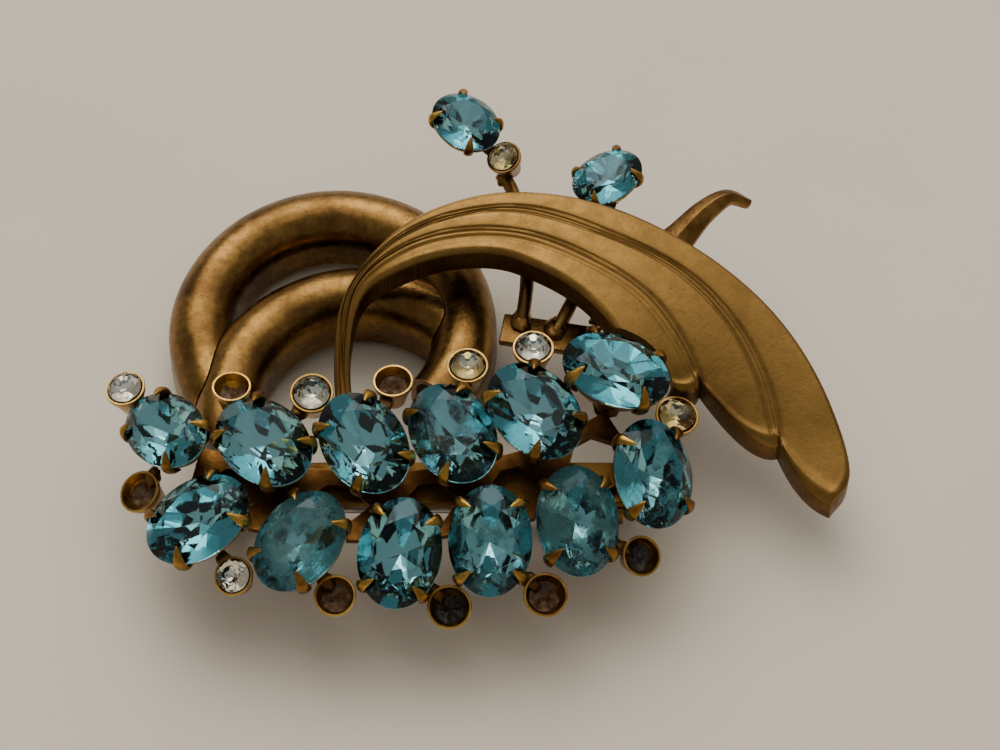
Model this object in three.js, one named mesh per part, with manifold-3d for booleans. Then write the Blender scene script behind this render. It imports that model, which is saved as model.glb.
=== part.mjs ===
// Costume brooch: a crescent cluster of oval stones in claw settings on an openwork plate,
// two hollow tube loops, a three-lobed plume, a small leaf, two stems, and a pin with a
// safety catch behind. Millimetres, +Z up: the brooch lies on its back with its face up,
// +X to the wearer's left and +Y towards the stem heads. It stands on z = 0 and its box
// is centred on the origin.
import * as THREE from 'three';
import { mergeVertices } from 'three/addons/utils/BufferGeometryUtils.js';
import Module from 'manifold-3d';

const wasm = await Module();
wasm.setup();

// ---- driving dimensions ------------------------------------------------------------

const OVAL = { length: 11.6, width: 8.7 };
const HEAD_SCALE = 0.69;
const STONE_SIDES = 12;
const CUP = { rim: 2.35, wall: 0.35, foot: 1.35, depth: 3.8, seat: 1.5, floor: 2.6 };
const CHATON = { girdle: 1.85, table: 1.05, crown: 0.95, pavilion: 1.0, lift: 0.2 };

const LOOP = { radius: 14.4, halfWidth: 3.45, skirt: 3.3, wall: 0.7 };
const OUTER_LOOP = { centre: [-15.9, 7.0], low: 4.6, high: 5.4, start: 222, end: -38 };
const INNER_LOOP = { centre: [-12.5, -3.1], low: 5.4, high: 4.6, start: 194, end: 38 };
const SOLDER_GAP = 0.3;

const PLATE = { bottom: 8.3, thickness: 0.8, halfWidth: 4.0 };
const STRIP = { centre: [7.7, 4.4], length: 10.6, width: 3.6, bottom: 8.2, thickness: 0.9, turn: -10 };
const STEM_RADIUS = 0.75;

const PIN = { axisY: -13.0, axisZ: 2.0, radius: 0.5, hingeX: -26.0, tipX: 18.0 };
const BAR = { from: -29.8, to: 17.2, width: 5.0, bottom: 7.0, thickness: 0.9, lengths: 11 };
const HINGE = { earRadius: 1.6, earThick: 0.7, earGap: 2.6, hole: 0.68, rivet: 0.6, knuckle: 1.15 };
const FOOT_THICK = 0.6;
const CATCH = { x: 13.4, outer: 2.0, bore: 1.35, length: 2.4, slot: 1.9, neck: 1.6 };
const ROLLER = { outer: 1.25, bore: 0.72, slot: 1.5, flange: 1.65, flangeThick: 0.6, lever: 3.1 };

// Oval stones: place of the girdle's centre, turn of the long axis in the stone's own
// plane, and how far the face leans to +X (right) and to -Y (forward), in degrees.
// The first rear stone and the two stem heads are smaller, and the heads are rounder.
const REAR_OVALS = [
  { at: [-32.6, -9.2, 12.4], turn: -44, right: -18, forward: 0, scale: 0.9 },
  { at: [-22.2, -11.3, 13.7], turn: -45, right: -5, forward: 3 },
  { at: [-11.8, -11.7, 14.2], turn: -58, right: 0, forward: 12 },
  { at: [-2.6, -10.6, 14.3], turn: -63, right: -4, forward: 8 },
  { at: [5.9, -9.0, 16.2], turn: -51, right: 3, forward: 8 },
  { at: [14.4, -4.1, 16.1], turn: -20, right: 8, forward: -3 },
];
const FRONT_OVALS = [
  { at: [-28.9, -19.1, 11.3], turn: 30, right: -12, forward: 8 },
  { at: [-18.3, -21.6, 11.3], turn: 55, right: -8, forward: 8 },
  { at: [-8.0, -22.9, 11.1], turn: 80, right: -2, forward: 20 },
  { at: [1.3, -21.6, 11.3], turn: 90, right: 3, forward: 22 },
  { at: [10.3, -19.3, 11.3], turn: 100, right: 12, forward: 20 },
  { at: [18.2, -14.3, 12.3], turn: 104, right: 22, forward: 15 },
];
const HEADS = [
  { name: 'head_left', at: [-1.4, 26.9, 16.4], turn: -40, right: 10, forward: 0, scale: HEAD_SCALE, widen: 1.14 },
  { name: 'head_right', at: [13.9, 20.6, 15.2], turn: 28, right: -10, forward: -1, scale: HEAD_SCALE, widen: 1.06 },
];

// Round cups along the cluster's edge, place of the rim's centre. Some have lost their stone.
const CUPS = [
  { at: [-37.3, -3.5, 11.4], right: -10, forward: -4, scale: 0.94, stone: true },
  { at: [-25.9, -4.2, 13.0], right: 0, forward: -12, scale: 0.9, stone: false },
  { at: [-17.4, -5.4, 13.7], right: 0, forward: 4, stone: true },
  { at: [-8.9, -4.2, 14.2], right: 0, forward: -8, scale: 0.92, stone: false },
  { at: [-1.1, -2.4, 14.3], right: 0, forward: -4, scale: 0.95, stone: true },
  { at: [5.8, -0.1, 14.1], right: 0, forward: -6, scale: 0.95, stone: true },
  { at: [20.9, -7.1, 11.9], right: 8, forward: 2, stone: true },
  { at: [17.0, -22.05, 8.8], right: 20, forward: 20, scale: 0.92, stone: false },
  { at: [7.0, -26.7, 9.2], right: 5, forward: 20, stone: false },
  { at: [-2.9, -27.6, 8.2], right: 0, forward: 20, stone: false },
  { at: [-14.65, -26.8, 9.2], right: -5, forward: 16, scale: 0.95, stone: false },
  { at: [-25.2, -24.45, 9.0], right: -12, forward: 14, scale: 0.9, stone: true },
  { at: [-35.4, -14.8, 9.4], right: -24, forward: 6, stone: false },
];
const STEM_CUP = { at: [2.7, 23.7, 14.4], right: -16, forward: 6, scale: 0.82 };

// Middle line of the plate that carries the cluster.
const PLATE_LINE = [[-30.0, -13.4], [-20.0, -15.6], [-9.6, -16.4], [-0.5, -15.2], [8.0, -12.8], [15.4, -8.6]];

// Plume: edges of its three lobes on the upper face, from the tail to the lobe tips.
const PLUME = { wall: 3.2, skin: 0.9, ridge: 0.35, steps: 16, hollowFrom: 0.36, hollowTo: 0.94 };
const PLUME_EDGES = {
  outer: [[-15.0, -6.0], [-15.4, 1.5], [-14.4, 7.2], [-8.4, 14.1], [-2.0, 17.0], [4.4, 17.8], [13.6, 16.2],
    [23.6, 11.2], [31.5, 4.4], [36.6, -3.8], [38.9, -13.0], [36.9, -16.0]],
  second: [[-14.5, -6.0], [-14.8, 2.0], [-13.7, 8.0], [-8.2, 13.0], [-2.0, 15.2], [4.4, 15.6], [12.0, 13.2],
    [21.0, 8.9], [26.7, 3.3], [29.9, -2.6], [31.6, -9.6]],
  first: [[-13.9, -6.0], [-14.3, 2.0], [-12.9, 8.2], [-7.8, 11.8], [-2.0, 13.0], [4.4, 12.5], [11.0, 9.8],
    [17.3, 5.8], [21.0, 1.2], [23.4, -3.6]],
  inner: [[-13.1, -6.0], [-13.7, 2.0], [-12.2, 7.0], [-8.4, 9.1], [-3.0, 10.3], [2.3, 10.0], [6.5, 8.1],
    [10.0, 5.8], [13.0, 2.9], [15.8, -0.8], [19.4, -3.8]],
};
const PLUME_HUB = [8, -10];
const PLUME_HEIGHTS = [[-20, 8.2], [-5, 9.3], [20, 12.3], [45, 14.8], [70, 16.2], [95, 16.6], [120, 15.6],
  [140, 13.0], [160, 8.4], [175, 7.2]];

// Small leaf behind the plume: middle line and half width along it.
const LEAF_LINE = [[12.8, 4.8, 11.0], [16.6, 9.8, 11.2], [21.4, 15.0, 12.0], [24.6, 18.2, 13.0], [27.2, 19.9, 13.0],
  [29.8, 20.0, 11.4]];
const LEAF_HALF_WIDTHS = [1.2, 2.0, 2.4, 1.6, 1.1, 0.45];
const LEAF = { skin: 0.8, fold: 0.9, steps: 14 };

const STEMS = [
  [[4.6, 5.6, 9.0], [5.2, 10.0, 10.3], [4.9, 16.0, 10.9], [3.6, 21.6, 10.9], [2.8, 23.2, 11.2]],
  [[8.2, 4.6, 9.0], [10.2, 8.2, 10.2], [12.6, 13.6, 11.0], [14.0, 18.6, 11.3], [14.2, 20.2, 11.6]],
];

// ---- materials ---------------------------------------------------------------------

const giltBrass = new THREE.MeshStandardMaterial({ color: 0x9c7a3e, roughness: 0.42, metalness: 1 });
const wornBrass = new THREE.MeshStandardMaterial({ color: 0xb08a48, roughness: 0.36, metalness: 1 });
const steel = new THREE.MeshStandardMaterial({ color: 0xa9a59a, roughness: 0.3, metalness: 1 });
const aquaGlass = new THREE.MeshStandardMaterial({ color: 0x5fa9b4, roughness: 0.06, metalness: 0.2 });
const clearGlass = new THREE.MeshStandardMaterial({ color: 0xd8d8cc, roughness: 0.05, metalness: 0.2 });

// ---- helpers -----------------------------------------------------------------------

const radians = THREE.MathUtils.degToRad;
const point = (x, y, z) => new THREE.Vector3(x, y, z);

/** A closed geometry as a solid that can be joined and cut. */
function toSolid(geometry) {
  const bare = geometry.clone();
  bare.deleteAttribute('normal');
  bare.deleteAttribute('uv');
  const merged = mergeVertices(bare, 1e-4);
  const vertProperties = new Float32Array(merged.attributes.position.array);
  const triVerts = new Uint32Array(merged.index.array);
  return new wasm.Manifold(new wasm.Mesh({ numProp: 3, vertProperties, triVerts }));
}

/** A solid back as a three.js geometry. */
function toGeometry(solid) {
  const mesh = solid.getMesh();
  const geometry = new THREE.BufferGeometry();
  geometry.setAttribute('position', new THREE.BufferAttribute(new Float32Array(mesh.vertProperties), 3));
  geometry.setIndex(new THREE.BufferAttribute(new Uint32Array(mesh.triVerts), 1));
  geometry.computeVertexNormals();
  return geometry;
}

function joinAll(solids) {
  return solids.reduce((whole, piece) => whole.add(piece));
}

/** A body through closed rings of equally many points, with a fan over each end. */
function loft(rings) {
  const count = rings[0].length;
  const points = rings.flat();
  const faces = [];
  for (let ring = 0; ring + 1 < rings.length; ring += 1) {
    for (let i = 0; i < count; i += 1) {
      const a = ring * count + i;
      const b = ring * count + ((i + 1) % count);
      faces.push(a, b, b + count, a, b + count, a + count);
    }
  }
  const middle = (ring) => ring.reduce((sum, p) => sum.add(p), point(0, 0, 0)).divideScalar(count);
  const last = (rings.length - 1) * count;
  const firstMiddle = points.push(middle(rings[0])) - 1;
  const lastMiddle = points.push(middle(rings[rings.length - 1])) - 1;
  for (let i = 0; i < count; i += 1) {
    const next = (i + 1) % count;
    faces.push(firstMiddle, next, i, lastMiddle, last + i, last + next);
  }
  let volume = 0;
  for (let f = 0; f < faces.length; f += 3) {
    const [p, q, r] = [points[faces[f]], points[faces[f + 1]], points[faces[f + 2]]];
    volume += p.dot(q.clone().cross(r));
  }
  if (volume < 0) faces.reverse();
  const geometry = new THREE.BufferGeometry().setFromPoints(points);
  geometry.setIndex(faces);
  return toSolid(geometry);
}

/** A turned body: profile points are [radius, height], turned about Z. */
function turned(profile, segments) {
  const outline = profile.map(([radius, height]) => new THREE.Vector2(radius, height));
  return toSolid(new THREE.LatheGeometry(outline, segments).rotateX(Math.PI / 2));
}

function block(lengthX, lengthY, lengthZ, x, y, z) {
  return toSolid(new THREE.BoxGeometry(lengthX, lengthY, lengthZ).translate(x, y, z));
}

/** A cylinder from one X to another, about the line y, z. */
function rodAlongX(radius, fromX, toX, y, z, segments = 24) {
  const rod = new THREE.CylinderGeometry(radius, radius, toX - fromX, segments);
  rod.rotateZ(-Math.PI / 2).translate((fromX + toX) / 2, y, z);
  return toSolid(rod);
}

function rodAlongY(radius, length, x, y, z, segments = 20) {
  return toSolid(new THREE.CylinderGeometry(radius, radius, length, segments).translate(x, y, z));
}

/** Straight-line reading of a list of [key, value] pairs with rising keys. */
function readTable(table, key) {
  const above = table.findIndex(([k]) => k >= key);
  if (above < 0) return table[table.length - 1][1];
  if (above === 0) return table[0][1];
  const [k0, v0] = table[above - 1];
  const [k1, v1] = table[above];
  return v0 + ((v1 - v0) * (key - k0)) / (k1 - k0);
}

/** Where a seat puts a piece that was drawn about the origin. */
function seatMatrix(seat) {
  const lean = new THREE.Euler(radians(seat.forward), radians(seat.right), radians(seat.turn ?? 0), 'YXZ');
  const size = seat.scale ?? 1;
  return new THREE.Matrix4().compose(
    point(...seat.at),
    new THREE.Quaternion().setFromEuler(lean),
    point(size, size * (seat.widen ?? 1), size),
  );
}

const brooch = new THREE.Group();

/** Adds one named piece, from a solid or a closed geometry. */
function addPiece(name, solid, material, seat = null) {
  const mesh = new THREE.Mesh(toGeometry(solid), material);
  mesh.name = name;
  if (seat) mesh.applyMatrix4(seatMatrix(seat));
  brooch.add(mesh);
}

// ---- stones and their settings -----------------------------------------------------

/** Oval faceted stone: flat table, sloping crown, thin girdle, pavilion to a small keel. */
function ovalStone() {
  const levels = [
    { height: 1.75, scale: 0.62 },
    { height: 0.15, scale: 1.0 },
    { height: -0.15, scale: 1.0 },
    { height: -1.6, scale: 0.62 },
    { height: -2.75, scale: 0.12 },
  ];
  const rings = levels.map(({ height, scale }) => Array.from({ length: STONE_SIDES }, (_, i) => {
    const angle = (2 * Math.PI * (i + 0.5)) / STONE_SIDES;
    return point(0.5 * OVAL.length * scale * Math.cos(angle), 0.5 * OVAL.width * scale * Math.sin(angle), height);
  }));
  return loft(rings);
}

/** One claw of a setting: rises outside the girdle and bends in over the crown. */
function claw(edge, outward) {
  const outline = new THREE.Shape([
    [-0.95, -1.7], [-0.4, -1.75], [0.55, -0.3], [0.62, 0.8], [-0.95, 2.0], [-1.0, 1.72], [0.22, 0.6], [0.2, -0.2],
  ].map(([across, up]) => new THREE.Vector2(across, up)));
  const thickness = 0.8;
  const claws = new THREE.ExtrudeGeometry(outline, { depth: thickness, bevelEnabled: false });
  claws.translate(0, 0, -thickness / 2);
  const up = point(0, 0, 1);
  const basis = new THREE.Matrix4().makeBasis(outward, up, outward.clone().cross(up));
  basis.setPosition(edge);
  return toSolid(claws.applyMatrix4(basis));
}

/** Claw setting for an oval stone: an open tapered basket and four claws. */
function clawSetting() {
  const { length, width } = OVAL;
  const clearance = 0.05;
  const basketWall = 0.45;
  const top = -0.6;
  const bottom = -3.1;
  const taper = 0.64;
  const radius = length / 2 + clearance;
  const basket = new THREE.LatheGeometry([
    [radius, top], [radius - basketWall, top], [radius * taper - basketWall, bottom], [radius * taper, bottom],
    [radius, top],
  ].map(([r, h]) => new THREE.Vector2(r, h)), STONE_SIDES, Math.PI / STONE_SIDES);
  basket.rotateX(Math.PI / 2).scale(1, (width / 2 + clearance) / radius, 1);
  const pieces = [toSolid(basket)];
  for (const angle of [48, 132, 228, 312].map(radians)) {
    const edge = point((length / 2) * Math.cos(angle), (width / 2) * Math.sin(angle), 0);
    const outward = point(Math.cos(angle) / length, Math.sin(angle) / width, 0).normalize();
    pieces.push(claw(edge, outward));
  }
  return joinAll(pieces);
}

/** Round tapered cup, open at the top, with a narrow seat ledge inside. */
function roundCup() {
  const inner = CUP.rim - CUP.wall;
  return turned([
    [0, -CUP.depth], [CUP.foot, -CUP.depth], [CUP.rim, -0.6], [CUP.rim, 0], [inner, 0], [inner, -CUP.seat],
    [0.9, -CUP.floor], [0, -CUP.floor],
  ], 14);
}

/** Small round faceted stone, its girdle a little above the cup's rim. */
function chaton() {
  const edge = 0.1;
  return turned([
    [0, -CHATON.pavilion], [CHATON.girdle, CHATON.lift - edge], [CHATON.girdle, CHATON.lift + edge],
    [CHATON.table, CHATON.crown], [0, CHATON.crown],
  ], 12);
}

function addOval(name, seat) {
  addPiece(`stone_${name}`, ovalStone(), aquaGlass, seat);
  addPiece(`setting_${name}`, clawSetting(), wornBrass, seat);
}

REAR_OVALS.forEach((seat, i) => addOval(`rear_${i + 1}`, seat));
FRONT_OVALS.forEach((seat, i) => addOval(`front_${i + 1}`, seat));
HEADS.forEach((seat) => addOval(seat.name, seat));

CUPS.forEach((seat, i) => {
  addPiece(`cup_${i + 1}`, roundCup(), wornBrass, seat);
  if (seat.stone) addPiece(`chaton_${i + 1}`, chaton(), clearGlass, seat);
});
addPiece('chaton_stem', chaton(), clearGlass, STEM_CUP);

// ---- loops -------------------------------------------------------------------------

/** Bar along a loop: half round above, straight sides below. Shrink makes its inside. */
function loopBar(loop, shrink, fromAngle, toAngle, skirt = LOOP.skirt) {
  const steps = 26;
  const archSides = 9;
  const half = LOOP.halfWidth - shrink;
  const section = [[half, -skirt]];
  for (let i = 0; i <= archSides; i += 1) {
    const turn = (Math.PI * i) / archSides;
    section.push([half * Math.cos(turn), half * Math.sin(turn)]);
  }
  section.push([-half, -skirt]);
  const rings = [];
  for (let step = 0; step <= steps; step += 1) {
    const angle = radians(fromAngle + ((toAngle - fromAngle) * step) / steps);
    const across = (1 + Math.cos(angle)) / 2;
    const height = loop.low + (loop.high - loop.low) * across;
    rings.push(section.map(([out, up]) => point(
      loop.centre[0] + (LOOP.radius + out) * Math.cos(angle),
      loop.centre[1] + (LOOP.radius + out) * Math.sin(angle),
      height + up,
    )));
  }
  return loft(rings);
}

/** Loop stamped hollow, open behind and at both ends, coped to fit the side of the other loop. */
function hollowLoop(loop, otherLoop, otherFrom, otherTo) {
  const beyond = 2;
  const bar = loopBar(loop, 0, loop.start, loop.end);
  const inside = loopBar(loop, LOOP.wall, loop.start + beyond, loop.end - beyond, LOOP.skirt + 1);
  const room = loopBar(otherLoop, -SOLDER_GAP, otherFrom, otherTo, LOOP.skirt + 3);
  const pieces = bar.subtract(inside).subtract(room).decompose();
  return pieces.reduce((largest, piece) => (piece.volume() > largest.volume() ? piece : largest));
}

addPiece('outer_loop', hollowLoop(OUTER_LOOP, INNER_LOOP, 215, 120), giltBrass);
addPiece('inner_loop', hollowLoop(INNER_LOOP, OUTER_LOOP, 60, -50), giltBrass);

// ---- plume -------------------------------------------------------------------------

function plumeHeight(x, y) {
  const angle = THREE.MathUtils.radToDeg(Math.atan2(y - PLUME_HUB[1], x - PLUME_HUB[0]));
  return readTable(PLUME_HEIGHTS, angle);
}

/** One lobe between two edges, crowned above. Inset and drop make the smaller hollow in it. */
function lobe({ edges, bulge }, { from, to, inset, drop, depth }) {
  const curves = edges.map((edge) => new THREE.CatmullRomCurve3(
    edge.map(([x, y]) => point(x, y, 0)),
    false,
    'centripetal',
  ));
  const rings = [];
  for (let step = 0; step <= PLUME.steps; step += 1) {
    const along = from + ((to - from) * step) / PLUME.steps;
    const [a, b] = curves.map((curve) => curve.getPointAt(along));
    const middle = a.clone().add(b).divideScalar(2);
    const half = b.clone().sub(a).divideScalar(2);
    const keep = Math.max(0.05, 1 - inset / half.length());
    const ahead = curves[0].getTangentAt(along).add(curves[1].getTangentAt(along)).normalize();
    const at = (across, lift) => {
      const reach = bulge * (1 - across * across) * THREE.MathUtils.smoothstep(along, 0.6, 1);
      const p = middle.clone().addScaledVector(half, across * keep).addScaledVector(ahead, reach);
      return p.setZ(plumeHeight(p.x, p.y) + lift);
    };
    const crown = PLUME.ridge - drop;
    const top = [-0.7, 0, 0.7].map((across) => at(across, crown));
    const under = [0.7, 0, -0.7].map((across) => at(across, -depth));
    rings.push([at(-1, -depth), at(-1, -drop), ...top, at(1, -drop), at(1, -depth), ...under]);
  }
  return loft(rings);
}

/** The space that a tilted oval setting needs, tapered like its basket. */
function ovalRoom(seat, margin, taper, from, to) {
  const room = new THREE.CylinderGeometry(1, taper, to - from, 20);
  room.rotateX(Math.PI / 2).translate(0, 0, (from + to) / 2);
  room.scale(OVAL.length / 2 + margin, OVAL.width / 2 + margin, 1);
  return toSolid(room.applyMatrix4(seatMatrix(seat)));
}

/** Three stamped lobes side by side, hollow behind, notched where the last rear stone sits. */
function plume() {
  const { outer, second, first, inner } = PLUME_EDGES;
  const lobes = [
    { edges: [outer, second], bulge: 1.0 },
    { edges: [second, first], bulge: 2.0 },
    { edges: [first, inner], bulge: 1.2 },
  ];
  const overlap = -0.2;
  const body = lobes.map((shape) => lobe(shape, { from: 0, to: 1, inset: overlap, drop: 0, depth: PLUME.wall }));
  const hollows = lobes.map((shape) => lobe(shape, {
    from: PLUME.hollowFrom,
    to: PLUME.hollowTo,
    inset: PLUME.skin / 2,
    drop: PLUME.skin,
    depth: PLUME.wall + 1,
  }));
  return joinAll(body).subtract(joinAll(hollows)).subtract(ovalRoom(REAR_OVALS[5], 1.0, 1, -6, 5));
}

addPiece('plume', plume(), giltBrass);

// ---- small leaf --------------------------------------------------------------------

function smallLeaf() {
  const curve = new THREE.CatmullRomCurve3(LEAF_LINE.map((p) => point(...p)));
  const widths = LEAF_HALF_WIDTHS.map((width, i) => [i / (LEAF_HALF_WIDTHS.length - 1), width]);
  const rings = [];
  for (let step = 0; step <= LEAF.steps; step += 1) {
    const along = step / LEAF.steps;
    const middle = curve.getPoint(along);
    const ahead = curve.getTangent(along);
    const side = point(0, 0, 1).cross(ahead).normalize().multiplyScalar(readTable(widths, along));
    const up = ahead.clone().cross(side).normalize();
    const fold = LEAF.fold * (1 - 0.6 * along);
    const at = (across, lift) => middle.clone().addScaledVector(side, across).addScaledVector(up, lift);
    rings.push([at(-1, -fold), at(0, 0), at(1, -fold), at(1, -fold - LEAF.skin), at(0, -LEAF.skin),
      at(-1, -fold - LEAF.skin)]);
  }
  return loft(rings);
}

addPiece('small_leaf', smallLeaf(), giltBrass);

// ---- stems on their cross strip ----------------------------------------------------

function stem(line) {
  const curve = new THREE.CatmullRomCurve3(line.map((p) => point(...p)));
  const section = new THREE.Shape().absarc(0, 0, STEM_RADIUS, 0, 2 * Math.PI);
  const wire = new THREE.ExtrudeGeometry(section, { steps: 10, curveSegments: 4, extrudePath: curve });
  return toSolid(wire);
}

function stemBracket() {
  const bar = new THREE.BoxGeometry(STRIP.length, STRIP.width, STRIP.thickness);
  bar.rotateZ(radians(STRIP.turn));
  bar.translate(STRIP.centre[0], STRIP.centre[1], STRIP.bottom + STRIP.thickness / 2);
  const cup = toGeometry(roundCup()).applyMatrix4(seatMatrix(STEM_CUP));
  return joinAll([toSolid(bar), ...STEMS.map(stem), toSolid(cup)]);
}

addPiece('stem_bracket', stemBracket(), giltBrass);

// ---- openwork plate ----------------------------------------------------------------

function openworkPlate() {
  const line = new THREE.SplineCurve(PLATE_LINE.map(([x, y]) => new THREE.Vector2(x, y)));
  const steps = 24;
  const offsetPoint = (along, offset) => {
    const ahead = line.getTangent(along);
    return line.getPoint(along).add(new THREE.Vector2(-ahead.y, ahead.x).multiplyScalar(offset));
  };
  const upperEdge = Array.from({ length: steps + 1 }, (_, i) => offsetPoint(i / steps, PLATE.halfWidth));
  const lowerEdge = Array.from({ length: steps + 1 }, (_, i) => offsetPoint(1 - i / steps, -PLATE.halfWidth));
  const outline = new THREE.Shape([...upperEdge, ...lowerEdge]);
  for (const along of [0.1, 0.3, 0.5, 0.7, 0.9]) {
    const half = 0.068;
    const reach = PLATE.halfWidth - 1.7;
    outline.holes.push(new THREE.Path([
      offsetPoint(along - half, 0), offsetPoint(along - half / 3, -reach), offsetPoint(along + half / 3, -reach),
      offsetPoint(along + half, 0), offsetPoint(along + half / 3, reach), offsetPoint(along - half / 3, reach),
    ]));
  }
  const plate = new THREE.ExtrudeGeometry(outline, { depth: PLATE.thickness, bevelEnabled: false });
  const rooms = [...REAR_OVALS, ...FRONT_OVALS].map((seat) => ovalRoom(seat, 0.7, 0.72, -4.2, 0));
  const pieces = toSolid(plate.translate(0, 0, PLATE.bottom)).subtract(joinAll(rooms)).decompose();
  return pieces.reduce((largest, piece) => (piece.volume() > largest.volume() ? piece : largest));
}

addPiece('base_plate', openworkPlate(), giltBrass);

// ---- pin, hinge and safety catch ---------------------------------------------------

const footTop = BAR.bottom - SOLDER_GAP;
const footBottom = footTop - FOOT_THICK;

function pinBar() {
  const length = BAR.to - BAR.from;
  const bar = new THREE.BoxGeometry(length, BAR.width, BAR.thickness, BAR.lengths, 1, 1);
  return toSolid(bar.translate((BAR.from + BAR.to) / 2, PIN.axisY, BAR.bottom + BAR.thickness / 2));
}

/** Foot plate with two ears that hold the rivet. */
function hingeBlock() {
  const foot = block(5.6, BAR.width, FOOT_THICK, PIN.hingeX, PIN.axisY, (footTop + footBottom) / 2);
  const pieces = [foot];
  for (const side of [-1, 1]) {
    const y = PIN.axisY + (side * (HINGE.earGap + HINGE.earThick)) / 2;
    const earHeight = footBottom + FOOT_THICK / 2 - PIN.axisZ;
    const web = block(2 * HINGE.earRadius, HINGE.earThick, earHeight, PIN.hingeX, y, PIN.axisZ + earHeight / 2);
    const ear = rodAlongY(HINGE.earRadius, HINGE.earThick, PIN.hingeX, y, PIN.axisZ);
    pieces.push(web, ear);
  }
  return joinAll(pieces).subtract(rodAlongY(HINGE.hole, 10, PIN.hingeX, PIN.axisY, PIN.axisZ));
}

/** Rivet through both ears, with a flat head outside each. */
function hingeRivet() {
  const halfSpan = HINGE.earGap / 2 + HINGE.earThick + 0.1;
  const head = { radius: 1.0, thick: 0.4 };
  const shank = rodAlongY(HINGE.rivet, 2 * halfSpan + head.thick, PIN.hingeX, PIN.axisY, PIN.axisZ);
  const heads = [-1, 1].map((side) => rodAlongY(
    head.radius,
    head.thick,
    PIN.hingeX,
    PIN.axisY + side * (halfSpan + head.thick / 2),
    PIN.axisZ,
  ));
  return joinAll([shank, ...heads]);
}

/** Knuckle round the rivet, straight stem and sharpened point. */
function pinStem() {
  const knuckleWidth = HINGE.earGap - 0.4;
  const knuckle = rodAlongY(HINGE.knuckle, knuckleWidth, PIN.hingeX, PIN.axisY, PIN.axisZ);
  const pointLength = 3.5;
  const stemEnd = PIN.tipX - pointLength;
  const wire = rodAlongX(PIN.radius, PIN.hingeX, stemEnd + 0.01, PIN.axisY, PIN.axisZ, 12);
  const sharp = new THREE.CylinderGeometry(0.08, PIN.radius, pointLength, 12).rotateZ(-Math.PI / 2);
  sharp.translate(stemEnd + pointLength / 2, PIN.axisY, PIN.axisZ);
  const hole = rodAlongY(HINGE.hole, 10, PIN.hingeX, PIN.axisY, PIN.axisZ);
  return joinAll([knuckle, wire, toSolid(sharp)]).subtract(hole);
}

/** Foot, neck and a round housing with a slot on the side away from the brooch. */
function catchBody() {
  const housing = rodAlongX(CATCH.outer, CATCH.x - CATCH.length / 2, CATCH.x + CATCH.length / 2, PIN.axisY, PIN.axisZ);
  const neckHeight = footBottom + FOOT_THICK / 2 - PIN.axisZ;
  const neck = block(CATCH.length, CATCH.neck, neckHeight, CATCH.x, PIN.axisY, PIN.axisZ + neckHeight / 2);
  const foot = block(4.6, BAR.width, FOOT_THICK, CATCH.x, PIN.axisY, (footTop + footBottom) / 2);
  const bore = rodAlongX(CATCH.bore, CATCH.x - 5, CATCH.x + 5, PIN.axisY, PIN.axisZ);
  const slot = block(10, CATCH.slot, 4, CATCH.x, PIN.axisY, PIN.axisZ - 2);
  return joinAll([housing, neck, foot]).subtract(bore).subtract(slot);
}

/** Slotted barrel that turns inside the housing, flanged at both ends, with a thumb lever. */
function catchRoller() {
  const half = CATCH.length / 2 + 0.15;
  const barrel = rodAlongX(ROLLER.outer, CATCH.x - half, CATCH.x + half, PIN.axisY, PIN.axisZ);
  const flanges = [-1, 1].map((side) => {
    const from = CATCH.x + side * half;
    const to = from + side * ROLLER.flangeThick;
    return rodAlongX(ROLLER.flange, Math.min(from, to), Math.max(from, to), PIN.axisY, PIN.axisZ);
  });
  const leverX = CATCH.x + half + ROLLER.flangeThick / 2;
  const lever = block(ROLLER.flangeThick, ROLLER.lever, 0.7, leverX, PIN.axisY + ROLLER.lever / 2, PIN.axisZ);
  const bore = rodAlongX(ROLLER.bore, CATCH.x - 5, CATCH.x + 5, PIN.axisY, PIN.axisZ, 16);
  const slot = block(10, ROLLER.slot, 4, CATCH.x, PIN.axisY, PIN.axisZ - 2);
  return joinAll([barrel, ...flanges, lever]).subtract(bore).subtract(slot);
}

addPiece('pin_bar', pinBar(), giltBrass);
addPiece('hinge_block', hingeBlock(), giltBrass);
addPiece('hinge_rivet', hingeRivet(), giltBrass);
addPiece('pin_stem', pinStem(), steel);
addPiece('catch_body', catchBody(), giltBrass);
addPiece('catch_roller', catchRoller(), giltBrass);

// ---- origin ------------------------------------------------------------------------

brooch.updateMatrixWorld(true);
const box = new THREE.Box3().setFromObject(brooch, true);
const centre = box.getCenter(point(0, 0, 0));
brooch.position.set(-centre.x, -centre.y, -box.min.z);

export default brooch;
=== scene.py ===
"""The looks of a costume brooch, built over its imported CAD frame.

Shapes are in millimetres of the part, with +Z up and the brooch face up, and are written to
the frame in metres. Stones, settings and cups take their places from the CAD nodes.
"""

import random
from math import atan2, cos, degrees, exp, pi, radians, sin

import bmesh
import bpy
import numpy as np
from mathutils import Matrix, Vector, noise


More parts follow.
